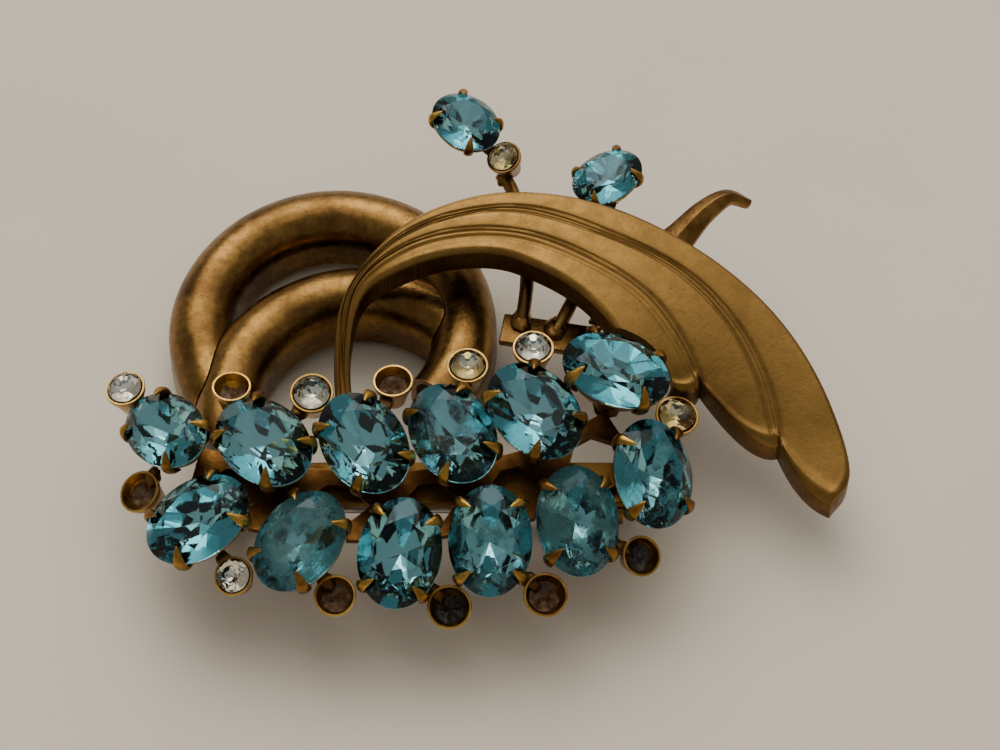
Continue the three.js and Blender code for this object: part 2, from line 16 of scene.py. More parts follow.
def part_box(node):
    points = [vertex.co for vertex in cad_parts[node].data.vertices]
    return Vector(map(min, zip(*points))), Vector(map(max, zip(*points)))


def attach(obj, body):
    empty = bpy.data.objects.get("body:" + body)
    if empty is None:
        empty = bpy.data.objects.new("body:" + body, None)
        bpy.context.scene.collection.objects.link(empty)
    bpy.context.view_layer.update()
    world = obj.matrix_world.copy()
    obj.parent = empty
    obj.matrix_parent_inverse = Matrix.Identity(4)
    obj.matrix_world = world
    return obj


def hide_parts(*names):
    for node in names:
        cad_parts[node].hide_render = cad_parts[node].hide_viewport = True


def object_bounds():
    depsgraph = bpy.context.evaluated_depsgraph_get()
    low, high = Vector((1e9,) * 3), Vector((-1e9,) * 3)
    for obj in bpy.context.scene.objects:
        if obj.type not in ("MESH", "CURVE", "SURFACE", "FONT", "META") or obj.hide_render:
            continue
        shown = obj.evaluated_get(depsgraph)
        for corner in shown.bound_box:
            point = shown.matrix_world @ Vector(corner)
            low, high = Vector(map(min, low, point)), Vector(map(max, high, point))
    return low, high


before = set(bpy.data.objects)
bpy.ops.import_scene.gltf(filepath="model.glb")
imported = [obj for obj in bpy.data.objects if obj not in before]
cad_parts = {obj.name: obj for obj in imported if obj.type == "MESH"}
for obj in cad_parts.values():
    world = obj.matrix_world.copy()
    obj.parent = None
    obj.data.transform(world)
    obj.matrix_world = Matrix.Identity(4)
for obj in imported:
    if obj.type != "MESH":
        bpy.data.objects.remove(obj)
bounds_at_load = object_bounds()

# ---- driving dimensions, mm ----

MM = 0.001
BAR_CORNER = Vector((-29.8, -15.5, 7.0))

OVAL_HALF = (5.8, 4.35)
STONE = {"table": 1.75, "girdle": 0.15, "keel": -2.75, "polygon": cos(radians(15))}
CUP = {"rim": 2.35, "wall": 0.3, "foot": 1.35, "depth": 3.8, "seat": 1.3, "floor": 2.5, "slack": 0.985}
CHATON = {"radius": 1.95, "crown": 0.78, "girdle": 0.08, "pavilion": -1.3, "lift": 0.2}

LOOP = {"radius": 14.4, "half": 3.45, "skirt": 3.3, "wall": 0.7, "lip": 0.2}
OUTER_LOOP = {"centre": (-15.9, 7.0), "low": 4.6, "high": 5.4, "start": 222, "end": -38}
INNER_LOOP = {"centre": (-12.5, -3.1), "low": 5.4, "high": 4.6, "start": 194, "end": 38}
SOLDER_GAP = 0.12
PLATE_TOP = 9.1

PLUME = {"wall": 3.2, "skin": 0.9, "crown": 0.3, "hollow_from": 0.36}
PLUME_HUB = (8, -10)
PLUME_HEIGHTS = [(-20, 8.2), (-5, 9.3), (20, 12.3), (45, 14.8), (70, 16.2), (95, 16.6), (120, 15.6),
                 (140, 13.0), (160, 8.4), (175, 7.2)]
PLUME_EDGES = [
    [(-15.0, -6.0), (-15.4, 1.5), (-14.4, 7.2), (-8.4, 14.1), (-2.0, 17.0), (4.4, 17.8), (13.6, 16.2),
     (23.6, 11.2), (31.5, 4.4), (36.6, -3.8), (38.9, -13.0), (36.9, -16.0)],
    [(-14.5, -6.0), (-14.8, 2.0), (-13.7, 8.0), (-8.2, 13.0), (-2.0, 15.2), (4.4, 15.6), (12.0, 13.2),
     (21.0, 8.9), (26.7, 3.3), (29.9, -2.6), (31.6, -9.6)],
    [(-13.9, -6.0), (-14.3, 2.0), (-12.9, 8.2), (-7.8, 11.8), (-2.0, 13.0), (4.4, 12.5), (11.0, 9.8),
     (17.3, 5.8), (21.0, 1.2), (23.4, -3.6)],
    [(-13.1, -6.0), (-13.7, 2.0), (-12.2, 7.0), (-8.4, 9.1), (-3.0, 10.3), (2.3, 10.0), (6.5, 8.1),
     (10.0, 5.8), (13.0, 2.9), (15.8, -0.8), (19.4, -3.8)],
]
PLUME_BULGES = [1.0, 2.0, 1.2]

LEAF_LINE = [(12.8, 4.8, 11.0), (16.6, 9.8, 11.2), (21.4, 15.0, 12.0), (24.6, 18.2, 13.0),
             (27.2, 19.9, 13.0), (29.8, 20.0, 11.4)]
LEAF_HALF_WIDTHS = [1.2, 2.0, 2.4, 1.6, 1.1, 0.45]
LEAF = {"skin": 0.8, "fold": 0.9}

STEMS = [
    [(4.6, 5.6, 9.0), (5.2, 10.0, 10.3), (4.9, 16.0, 10.9), (3.6, 21.6, 10.9), (2.8, 23.2, 11.2)],
    [(8.2, 4.6, 9.0), (10.2, 8.2, 10.2), (12.6, 13.6, 11.0), (14.0, 18.6, 11.3), (14.2, 20.2, 11.6)],
]
STEM_RADIUS = 0.75
STRIP = {"centre": (7.7, 4.4, 8.65), "size": (10.6, 3.6, 0.9), "turn": -10}
STEM_CUP = {"rim": (2.7, 23.7, 14.4), "right": -16, "forward": 6, "scale": 0.82}

PIN = {"y": -13.0, "z": 2.0, "radius": 0.5, "hinge": -26.0, "tip": 18.0, "point": 3.5}
BAR = {"from": -29.8, "to": 17.2, "width": 5.0, "bottom": 7.0, "top": 7.9}
FOOT = {"top": 6.7, "bottom": 6.1}
HINGE = {"ear": 1.6, "thick": 0.7, "gap": 2.6, "hole": 0.68, "rivet": 0.6, "knuckle": 1.15}
CATCH = {"x": 13.4, "outer": 1.99, "bore": 1.35, "length": 2.4, "slot": 1.9, "neck": 1.6}
ROLLER = {"outer": 1.25, "bore": 0.72, "slot": 1.5, "flange": 1.65, "thick": 0.6, "lever": 3.1}

UP = Vector((0, 0, 1))
FLOOR_REACH = 900
CAMERA = {"aim": (2.3, 0.0, 8.0), "distance": 350, "elevation": 60, "lens": 117.8}
WINDOW = {"place": (-140, 520, 560), "aim": (0, 0, 8), "size": (560, 420), "power": 1.9,
          "colour": (1.0, 0.95, 0.87)}
SKY = {"towards": (0.02, 0.6, 0.8), "colour": (1.0, 0.955, 0.89), "edge": 0.7, "core": 0.97,
       "dim": 0.36, "bright": 1.9}

OVAL_NAMES = [f"rear_{i}" for i in range(1, 7)] + [f"front_{i}" for i in range(1, 7)]
HEAD_NAMES = ["head_left", "head_right"]
CUP_STONES = {1: "clear", 3: "clear", 5: "yellowed", 6: "clear", 7: "yellowed", 12: "clear"}
DARK_CUPS = {8, 10}
# How far each stone's foil has clouded, from 0, clean, to 1.
CLOUDING = {"rear_1": 0.25, "rear_4": 0.5, "rear_5": 0.15, "front_1": 0.25, "front_2": 0.75, "front_4": 0.45,
            "front_5": 0.7, "front_6": 0.4, "head_left": 0.1, "head_right": 0.3}

PART_ORIGIN = Vector(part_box("pin_bar")[0]) / MM - BAR_CORNER


def smoothstep(key, low, high):
    """0 below low, 1 above high, and a smooth rise between."""
    share = min(1.0, max(0.0, (key - low) / (high - low)))
    return share * share * (3 - 2 * share)


def circle(count):
    """Cosine and sine at count equal steps round a circle."""
    return [(cos(2 * pi * k / count), sin(2 * pi * k / count)) for k in range(count)]


# ---- shapes ----


class Shape:
    """Points in millimetres, faces, and the number of each face's finish."""

    def __init__(self, points=(), faces=(), finishes=()):
        self.points = list(points)
        self.faces = list(faces)
        self.finishes = list(finishes)

    def add(self, points, faces, finish=0):
        start = len(self.points)
        self.points.extend(Vector(p) for p in points)
        self.faces.extend([start + i for i in face] for face in faces)
        self.finishes.extend([finish] * len(faces))
        return self

    def join(self, other, matrix=Matrix.Identity(4)):
        start = len(self.points)
        self.points.extend(matrix @ p for p in other.points)
        self.faces.extend([start + i for i in face] for face in other.faces)
        self.finishes.extend(other.finishes)
        return self


def skin(rings, ends="fan"):
    """A closed skin through closed rings of equally many points. Ends are fans or left open."""
    count = len(rings[0])
    points = [p for ring in rings for p in ring]
    faces = []
    for ring in range(len(rings) - 1):
        for i in range(count):
            a = ring * count + i
            b = ring * count + (i + 1) % count
            faces.append([a, b, b + count, a + count])
    if ends == "fan":
        last = (len(rings) - 1) * count
        for start, ring in ((0, rings[0]), (last, rings[-1])):
            points.append(sum((Vector(p) for p in ring), Vector()) / count)
            faces.extend([len(points) - 1, start + i, start + (i + 1) % count] for i in range(count))
    return Shape().add(points, faces)


def turned(profile, segments=48, wobble=0.0, seed=0.0):
    """A turned skin about Z from [radius, height] points. A wobble makes it slightly out of round."""
    rings = []
    for radius, height in profile:
        ring = []
        for x, y in circle(segments):
            reach = radius + wobble * noise.noise(Vector((x, y, seed))) * min(1, radius)
            ring.append((reach * x, reach * y, height))
        rings.append(ring)
    return skin(rings)


def tube(line, radii, segments=20):
    """A round bar along a line of points."""
    rings = []
    for i, centre in enumerate(line):
        ahead = (line[min(i + 1, len(line) - 1)] - line[max(i - 1, 0)]).normalized()
        side = ahead.cross(UP)
        side = side.normalized() if side.length > 1e-6 else Vector((1, 0, 0))
        up = side.cross(ahead).normalized()
        rings.append([centre + radii[i] * (side * x + up * y) for x, y in circle(segments)])
    return skin(rings)


def rod(radius, start, end, segments=40):
    """A straight rod between two points, with flat ends."""
    start, end = Vector(start), Vector(end)
    ahead = (end - start).normalized()
    turn = ahead.to_track_quat("Z", "Y").to_matrix()
    return skin([
        [at + turn @ Vector((radius * x, radius * y, 0)) for x, y in circle(segments)] for at in (start, end)
    ])


def block(size, centre, turn=0.0):
    """A box turned about Z."""
    spin = Matrix.Rotation(radians(turn), 4, "Z")
    corners = [
        Vector(centre) + spin @ Vector((size[0] * x / 2, size[1] * y / 2, size[2] * z / 2))
        for z in (-1, 1) for x, y in ((-1, -1), (1, -1), (1, 1), (-1, 1))
    ]
    sides = [[i, (i + 1) % 4, 4 + (i + 1) % 4, 4 + i] for i in range(4)]
    return Shape().add(corners, [[3, 2, 1, 0], [4, 5, 6, 7]] + sides)


def lump(centre, size, seed, roughness=0.25, turn=None):
    """An uneven blob of solder or glue."""
    ball = bmesh.new()
    bmesh.ops.create_icosphere(ball, subdivisions=3, radius=1)
    spin = turn or Matrix.Identity(3)
    points = []
    for vertex in ball.verts:
        swell = 1 + roughness * noise.noise(vertex.co * 1.6 + Vector((seed, 2 * seed, 0)))
        swell += 0.35 * roughness * noise.noise(vertex.co * 4.5 + Vector((0, seed, seed)))
        points.append(Vector(centre) + spin @ Vector(vertex.co[k] * size[k] * swell for k in range(3)))
    faces = [[v.index for v in face.verts] for face in ball.faces]
    ball.free()
    return Shape().add(points, faces)


def curve_points(points, count):
    """Points along a smooth curve: count of them evenly spaced, or at a list of shares of its length."""
    knots = [Vector(p).to_3d() for p in points]
    knots = [knots[0] * 2 - knots[1]] + knots + [knots[-1] * 2 - knots[-2]]
    fine = []
    for i in range(1, len(knots) - 2):
        p = knots[i - 1:i + 3]
        t = [0.0]
        for a, b in zip(p, p[1:]):
            t.append(t[-1] + max(1e-4, (b - a).length ** 0.5))

        def between(a, b, low, high, now):
            return a * ((high - now) / (high - low)) + b * ((now - low) / (high - low))

        for k in range(24 + (i == len(knots) - 3)):
            now = t[1] + (t[2] - t[1]) * k / 24
            a = [between(p[j], p[j + 1], t[j], t[j + 1], now) for j in range(3)]
            b = [between(a[j], a[j + 1], t[j], t[j + 2], now) for j in range(2)]
            fine.append(between(b[0], b[1], t[1], t[2], now))
    lengths = np.concatenate([[0], np.cumsum([(b - a).length for a, b in zip(fine, fine[1:])])])
    shares = np.linspace(0, 1, count) if isinstance(count, int) else np.array(count)
    columns = [np.interp(shares * lengths[-1], lengths, [p[axis] for p in fine]) for axis in range(3)]
    return [Vector(p) for p in zip(*columns)]


# ---- pieces ----


def placed(name, data):
    """A new object in the scene that shows the data."""
    thing = bpy.data.objects.new(name, data)
    bpy.context.scene.collection.objects.link(thing)
    return thing


def make_piece(name, shape, materials, replaces=(), body="brooch", smooth=40, bevel=None,
               outward=True):
    """One object from a shape. Faces that meet at less than the smooth angle are shaded as one."""
    mesh = bpy.data.meshes.new(name)
    points = [(p + PART_ORIGIN) * MM for p in shape.points]
    mesh.from_pydata(points, [], shape.faces)
    for material in materials:
        mesh.materials.append(material)
    mesh.polygons.foreach_set("material_index", shape.finishes)
    piece = placed(name, mesh)
    tidy_mesh(mesh, smooth, outward)
    if bevel:
        round_edges(piece, bevel)
    if replaces:
        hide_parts(*replaces)
    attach(piece, body)
    return piece


def tidy_mesh(mesh, smooth, outward=True):
    """Merges doubled points, turns faces outward and sets the shading."""
    work = bmesh.new()
    work.from_mesh(mesh)
    bmesh.ops.remove_doubles(work, verts=work.verts, dist=2e-3 * MM)
    if outward:
        bmesh.ops.recalc_face_normals(work, faces=work.faces)
    work.to_mesh(mesh)
    work.free()
    if smooth:
        mesh.shade_smooth()
        mesh.set_sharp_from_angle(angle=radians(smooth))


def round_edges(piece, width, angle=35):
    bevel = piece.modifiers.new("rounded edges", "BEVEL")
    bevel.width = width * MM
    bevel.segments = 2
    bevel.limit_method = "ANGLE"
    bevel.angle_limit = radians(angle)
    bevel.use_clamp_overlap = True


def carved(shape, cutters=(), joins=()):
    """The shape joined with some shapes and cut by others, as a new shape."""
    def temporary(part):
        mesh = bpy.data.meshes.new("temporary")
        mesh.from_pydata(part.points, [], part.faces)
        mesh.polygons.foreach_set("material_index", part.finishes)
        for _ in range(1 + max(part.finishes)):
            mesh.materials.append(None)
        tidy_mesh(mesh, None)
        return placed("temporary", mesh)

    base = temporary(shape)
    tools = []
    for operation, parts in (("UNION", joins), ("DIFFERENCE", cutters)):
        for part in parts:
            tools.append(temporary(part))
            change = base.modifiers.new(operation, "BOOLEAN")
            change.operation = operation
            change.solver = "EXACT"
            change.object = tools[-1]
    scene_now = bpy.context.evaluated_depsgraph_get()
    result = bpy.data.meshes.new_from_object(base.evaluated_get(scene_now))
    made = Shape(
        [vertex.co.copy() for vertex in result.vertices],
        [list(face.vertices) for face in result.polygons],
        [face.material_index for face in result.polygons],
    )
    for thing in [base] + tools:
        bpy.data.objects.remove(thing)
    bpy.data.meshes.remove(result)
    return made


def largest_island(shape):
    """The connected part of a shape that has the most points."""
    leader = list(range(len(shape.points)))

    def find(i):
        while leader[i] != i:
            leader[i] = leader[leader[i]]
            i = leader[i]
        return i

    for face in shape.faces:
        for i in face[1:]:
            leader[find(i)] = find(face[0])
    groups = [find(i) for i in range(len(shape.points))]
    biggest = max(set(groups), key=groups.count)
    numbers = {old: new for new, old in enumerate(i for i, group in enumerate(groups) if group == biggest)}
    kept = [k for k, face in enumerate(shape.faces) if face[0] in numbers]
    return Shape(
        [shape.points[i] for i in numbers],
        [[numbers[i] for i in shape.faces[k]] for k in kept],
        [shape.finishes[k] for k in kept],
    )


# ---- places read from the frame ----


def part_points(node):
    """The points of a CAD node in millimetres of the part."""
    return np.array([v.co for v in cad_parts[node].data.vertices]) / MM - np.array(PART_ORIGIN)


def widest_flat(node):
    """Middle and outward normal of the widest flat face of a CAD node."""
    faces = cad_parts[node].data.polygons
    normals = np.array([f.normal for f in faces])
    areas = np.array([f.area for f in faces])
    middles = np.array([f.center for f in faces]) / MM - np.array(PART_ORIGIN)
    offsets = np.einsum("ij,ij->i", normals, middles)
    best, members = 0.0, None
    for normal, offset in zip(normals, offsets):
        same = (normals @ normal > 0.9995) & (np.abs(middles @ normal - offset) < 0.02)
        if areas[same].sum() > best:
            best, members = areas[same].sum(), same
    middle = (middles[members] * areas[members, None]).sum(axis=0) / areas[members].sum()
    return Vector(middle), Vector(normals[members][0]).normalized()


def flattened(points, middle, up):
    """The points seen from the middle, with their heights along the up axis taken away."""
    spread = points - np.array(middle)
    return spread - np.outer(spread @ np.array(up), np.array(up))


def oval_seat(name):
    """Where a stone sits: long axis, short axis and up axis in the stone's size, and girdle middle."""
    table, up = widest_flat(f"stone_{name}")
    points = part_points(f"stone_{name}")
    spread = flattened(points, points.mean(axis=0), up)
    along = Vector(np.linalg.svd(spread, full_matrices=False)[2][0]).normalized()
    across = up.cross(along).normalized()
    scale, widened = (
        np.abs(spread @ np.array(axis)).max() / (half * STONE["polygon"])
        for axis, half in zip((along, across), OVAL_HALF)
    )
    seat = Matrix((along * scale, across * widened, up * scale)).transposed().to_4x4()
    seat.translation = table - up * STONE["table"] * scale
    return seat


def leaning_seat(cup):
    """The place of a cup from its rim's middle, its lean in degrees and its scale."""
    lean = Matrix.Rotation(radians(cup["right"]), 4, "Y") @ Matrix.Rotation(radians(cup["forward"]), 4, "X")
    return Matrix.Translation(cup["rim"]) @ lean @ Matrix.Scale(cup["scale"], 4)


def cup_seat(number):
    """Where a round cup sits: its axes in the cup's size, and the middle of its rim."""
    foot, down = widest_flat(f"cup_{number}")
    up = -down
    across = up.cross(Vector((1, 0, 0))).normalized()
    along = across.cross(up)
    spread = flattened(part_points(f"cup_{number}"), foot, up)
    scale = CUP["slack"] * np.linalg.norm(spread, axis=1).max() / CUP["rim"]
    seat = Matrix((along * scale, across * scale, up * scale)).transposed().to_4x4()
    seat.translation = foot + up * CUP["depth"] * scale
    return seat


# ---- finishes ----


class NodeTree:
    """The nodes of a finish or of the sky while they are being joined up."""

    def __init__(self, owner):
        owner.use_nodes = True
        self.tree = owner.node_tree

    def add(self, kind, **settings):
        node = self.tree.nodes.new(kind)
        for key, value in settings.items():
            setattr(node, key, value)
        return node

    def join(self, output, socket):
        self.tree.links.new(output, socket)

    def ramp(self, source, low, high, start=0.0, end=1.0):
        """Source spread smoothly from low..high to start..end."""
        spread = self.add("ShaderNodeMapRange", interpolation_type="SMOOTHSTEP")
        for socket, value in (("From Min", low), ("From Max", high), ("To Min", start), ("To Max", end)):
            spread.inputs[socket].default_value = value
        self.join(source, spread.inputs["Value"])
        return spread.outputs["Result"]


class Finish(NodeTree):
    """A procedural finish, in millimetres over the object."""

    def __init__(self, name):
        self.material = bpy.data.materials.new(name)
        super().__init__(self.material)
        self.shader = self.tree.nodes["Principled BSDF"]
        coordinates = self.add("ShaderNodeTexCoord")
        self.place = self.add("ShaderNodeVectorMath", operation="SCALE")
        self.place.inputs["Scale"].default_value = 1 / MM
        self.join(coordinates.outputs["Object"], self.place.inputs[0])

    def noise(self, scale, detail=4.0, rough=0.55, stretch=(1, 1, 1), shift=0.0):
        """Noise over the object, in features per millimetre."""
        spot = self.add("ShaderNodeMapping")
        spot.inputs["Scale"].default_value = stretch
        spot.inputs["Location"].default_value = (shift, 2 * shift, -shift)
        self.join(self.place.outputs[0], spot.inputs["Vector"])
        cloud = self.add("ShaderNodeTexNoise")
        cloud.inputs["Scale"].default_value = scale
        cloud.inputs["Detail"].default_value = detail
        cloud.inputs["Roughness"].default_value = rough
        self.join(spot.outputs[0], cloud.inputs["Vector"])
        return cloud.outputs["Fac"]

    def math(self, operation, first, second):
        node = self.add("ShaderNodeMath", operation=operation)
        for socket, value in zip(node.inputs, (first, second)):
            if isinstance(value, (int, float)):
                socket.default_value = value
            else:
                self.join(value, socket)
        return node.outputs[0]

    def times(self, first, second):
        return self.math("MULTIPLY", first, second)

    def mix(self, share, first, second):
        """Colour between two colours or outputs."""
        node = self.add("ShaderNodeMix", data_type="RGBA")
        self.join(share, node.inputs[0])
        for socket, value in ((node.inputs[6], first), (node.inputs[7], second)):
            if isinstance(value, tuple):
                socket.default_value = (*value, 1)
            else:
                self.join(value, socket)
        return node.outputs[2]

    def bump(self, height, distance, strength=1.0, after=None):
        """A bump of that height in millimetres, on top of an earlier bump."""
        node = self.add("ShaderNodeBump")
        node.inputs["Distance"].default_value = distance * MM
        node.inputs["Strength"].default_value = strength
        self.join(height, node.inputs["Height"])
        if after is not None:
            self.join(after, node.inputs["Normal"])
        return node.outputs["Normal"]

    def set(self, **values):
        """Sets or joins the shader's sockets: base_color becomes Base Color."""
        names = {s.name.lower().replace(" ", "_"): s for s in self.shader.inputs}
        for key, value in values.items():
            if isinstance(value, bpy.types.NodeSocket):
                self.join(value, names[key])
            elif isinstance(value, tuple):
                names[key].default_value = (*value, 1)
            else:
                names[key].default_value = value


def aged_brass(name, bright, dark, rough=(0.3, 0.48), wear=1.0, filed=0.0, shift=0.0):
    """Old gilt brass: brown patina in clouds, grime and painted shade in corners, dark specks, rubbed bright
    edges.
    """
    finish = Finish(name)
    patina = finish.ramp(finish.noise(0.16, 6, 0.6, shift=shift), 0.36, 0.66)
    mottle = finish.ramp(finish.noise(1.3, 5, 0.7, shift=shift + 3), 0.42, 0.68)
    specks = finish.ramp(finish.noise(3.2, 3, 0.6, shift=shift + 7), 0.66, 0.74)
    # Ambient occlusion finds corners and narrow gaps between parts; its mask is painted shade in the colour,
    # and grime that makes the metal duller and rougher.
    corner = finish.add("ShaderNodeAmbientOcclusion", samples=4)
    corner.inputs["Distance"].default_value = 1.6 * MM
    grime_and_painted_shade = finish.ramp(corner.outputs["AO"], 0.25, 0.85, 1.0, 0.0)
    soft = finish.add("ShaderNodeBevel", samples=4)
    soft.inputs["Radius"].default_value = 0.22 * MM
    shape_normal = finish.add("ShaderNodeNewGeometry")
    likeness = finish.add("ShaderNodeVectorMath", operation="DOT_PRODUCT")
    finish.join(soft.outputs[0], likeness.inputs[0])
    finish.join(shape_normal.outputs["Normal"], likeness.inputs[1])
    edge = finish.ramp(likeness.outputs["Value"], 0.9, 0.99, 1.0, 0.0)
    open_edge = finish.times(edge, finish.ramp(corner.outputs["AO"], 0.55, 0.9))
    worn = finish.ramp(finish.noise(0.9, 3, shift=shift), 0.3, 0.6, 0.35, wear)
    rubbed = finish.times(open_edge, worn)

    colour = finish.mix(patina, bright, dark)
    deep = tuple(0.32 * c for c in dark)
    colour = finish.mix(finish.times(mottle, 0.6), colour, dark)
    colour = finish.mix(finish.times(specks, 0.7), colour, deep)
    # Painted shade with grime: darker colour in corners and gaps.
    colour = finish.mix(finish.times(grime_and_painted_shade, 0.75), colour, deep)
    colour = finish.mix(rubbed, colour, tuple(min(1.0, 1.25 * c) for c in bright))
    shine = finish.ramp(finish.noise(0.7, 4, shift=shift + 11), 0.35, 0.7, *rough)
    shine = finish.math("ADD", shine, finish.times(grime_and_painted_shade, 0.2))
    shine = finish.math("SUBTRACT", shine, finish.times(rubbed, 0.08))
    metal = finish.math("SUBTRACT", 1.0, finish.times(grime_and_painted_shade, 0.35))

    relief = finish.bump(finish.noise(2.4, 5, 0.65, shift=shift), 0.05, 0.5)
    relief = finish.bump(specks, 0.03, 0.6, relief)
    if filed:
        marks = finish.noise(3.0, 2, 0.7, stretch=(1, 1, 0.04), shift=shift)
        relief = finish.bump(marks, 0.14, filed, relief)
    finish.set(base_color=colour, metallic=metal, roughness=shine, normal=relief)
    return finish.material


def glass(name, tint, scratches=0.25):
    """Clear or tinted glass with fine wear on its facets."""
    finish = Finish(name)
    haze = finish.ramp(finish.noise(1.6, 5, 0.7), 0.45, 0.75, 0.0, 0.09)
    lines = finish.ramp(finish.noise(5.0, 2, 0.5, stretch=(0.15, 1.2, 1)), 0.68, 0.76, 0.0, scratches)
    colour = finish.mix(finish.ramp(finish.noise(0.3, 3), 0.3, 0.7), tint, tuple(0.94 * c for c in tint))
    finish.set(
        base_color=colour,
        roughness=finish.math("ADD", haze, finish.times(lines, 0.25)),
        transmission_weight=1.0,
        ior=1.54,
        specular_tint=(0.35, 0.45, 0.48),
        normal=finish.bump(finish.noise(0.5, 2), 0.04, 0.12),
    )
    return finish.material


def foil(name, clean, clouded, clouding, shift=0.0):
    """The mirror foil behind a stone, clouded in patches where damp got in."""
    finish = Finish(name)
    cloud = finish.noise(0.42, 5, 0.65, shift=shift)
    patches = finish.ramp(cloud, 0.62 - 0.34 * clouding, 0.78 - 0.2 * clouding)
    patches = finish.times(patches, min(1.0, 0.35 + clouding))
    fine = finish.ramp(finish.noise(2.5, 4, 0.7, shift=shift), 0.4, 0.8, 0.0, 0.3)
    colour = finish.mix(finish.times(patches, 0.85), clean, clouded)
    colour = finish.mix(fine, colour, tuple(0.6 * c for c in clean))
    finish.set(
        base_color=colour,
        metallic=finish.ramp(patches, 0.0, 1.0, 1.0, 0.55),
        roughness=finish.ramp(patches, 0.0, 1.0, 0.03, 0.42),
        normal=finish.bump(finish.noise(0.8, 3), 0.05, 0.1 + 0.4 * clouding),
    )
    return finish.material


def steel_wire(name):
    finish = Finish(name)
    tarnish = finish.ramp(finish.noise(0.35, 5, 0.6), 0.4, 0.7)
    drawn = finish.noise(4.0, 2, 0.6, stretch=(0.05, 1, 1))
    finish.set(
        base_color=finish.mix(tarnish, (0.56, 0.54, 0.5), (0.3, 0.25, 0.19)),
        metallic=1.0,
        roughness=finish.ramp(tarnish, 0.0, 1.0, 0.22, 0.42),
        normal=finish.bump(drawn, 0.03, 0.4),
    )
    return finish.material


def old_glue(name, light, dark):
    """Hard brown glue left at the bottom of an empty cup."""
    finish = Finish(name)
    finish.set(
        base_color=finish.mix(finish.ramp(finish.noise(1.5, 5, 0.7), 0.35, 0.65), light, dark),
        roughness=finish.ramp(finish.noise(2.0, 3), 0.3, 0.7, 0.25, 0.6),
        normal=finish.bump(finish.noise(2.6, 4), 0.15, 0.8),
    )
    return finish.material


def paper_floor(name):
    """Pale warm board with faint smudges."""
    finish = Finish(name)
    smudge = finish.ramp(finish.noise(0.012, 5, 0.6), 0.35, 0.7)
    grain = finish.noise(1.1, 3, 0.6)
    colour = finish.mix(smudge, (0.86, 0.785, 0.66), (0.8, 0.725, 0.6))
    finish.set(base_color=colour, roughness=0.75, normal=finish.bump(grain, 0.05, 0.3))
    return finish.material


gilt_brass = aged_brass(
    "gilt brass", (0.27, 0.15, 0.042), (0.105, 0.053, 0.016), rough=(0.24, 0.38))
plume_brass = aged_brass(
    "plume brass", (0.245, 0.139, 0.039), (0.19, 0.106, 0.03), rough=(0.3, 0.46), shift=20)
filed_brass = aged_brass(
    "filed brass", (0.2, 0.11, 0.033), (0.11, 0.056, 0.017), wear=0.8, filed=1.0, shift=5)
setting_brass = aged_brass(
    "setting brass", (0.48, 0.28, 0.06), (0.17, 0.075, 0.016), rough=(0.24, 0.4), shift=31)
cup_brass = aged_brass(
    "cup brass", (0.52, 0.33, 0.085), (0.22, 0.105, 0.024), rough=(0.22, 0.38), shift=43)
back_brass = aged_brass(
    "back brass", (0.32, 0.18, 0.045), (0.16, 0.08, 0.02), rough=(0.36, 0.55), shift=57)
plate_brass = aged_brass(
    "plate brass", (0.22, 0.10, 0.025), (0.08, 0.035, 0.01), rough=(0.34, 0.5), shift=64)
solder_metal = aged_brass(
    "solder", (0.27, 0.15, 0.045), (0.10, 0.048, 0.014), rough=(0.35, 0.55), shift=71)
pin_steel = steel_wire("pin steel")
aqua_glass = glass("aqua glass", (0.69, 0.90, 0.92))
clear_glass = glass("clear glass", (0.98, 0.98, 0.96))
foil_paint = aged_brass("foil paint", (0.36, 0.24, 0.1), (0.2, 0.12, 0.05), rough=(0.5, 0.7), shift=83)
silver_foil = foil("silver foil", (0.82, 0.80, 0.72), (0.5, 0.42, 0.3), 0.35)
yellow_foil = foil("yellowed foil", (0.80, 0.70, 0.42), (0.5, 0.38, 0.16), 0.5, shift=9)
brown_glue = old_glue("brown glue", (0.17, 0.085, 0.03), (0.045, 0.022, 0.01))
black_glue = old_glue("black glue", (0.03, 0.022, 0.014), (0.008, 0.006, 0.005))


def aqua_foil(name):
    clouding = CLOUDING.get(name, 0.0)
    shift = 13.0 * (1 + (OVAL_NAMES + HEAD_NAMES).index(name))
    return foil(f"aqua foil {name}", (0.28, 0.56, 0.62), (0.10, 0.235, 0.22), clouding, shift)


# ---- stones ----


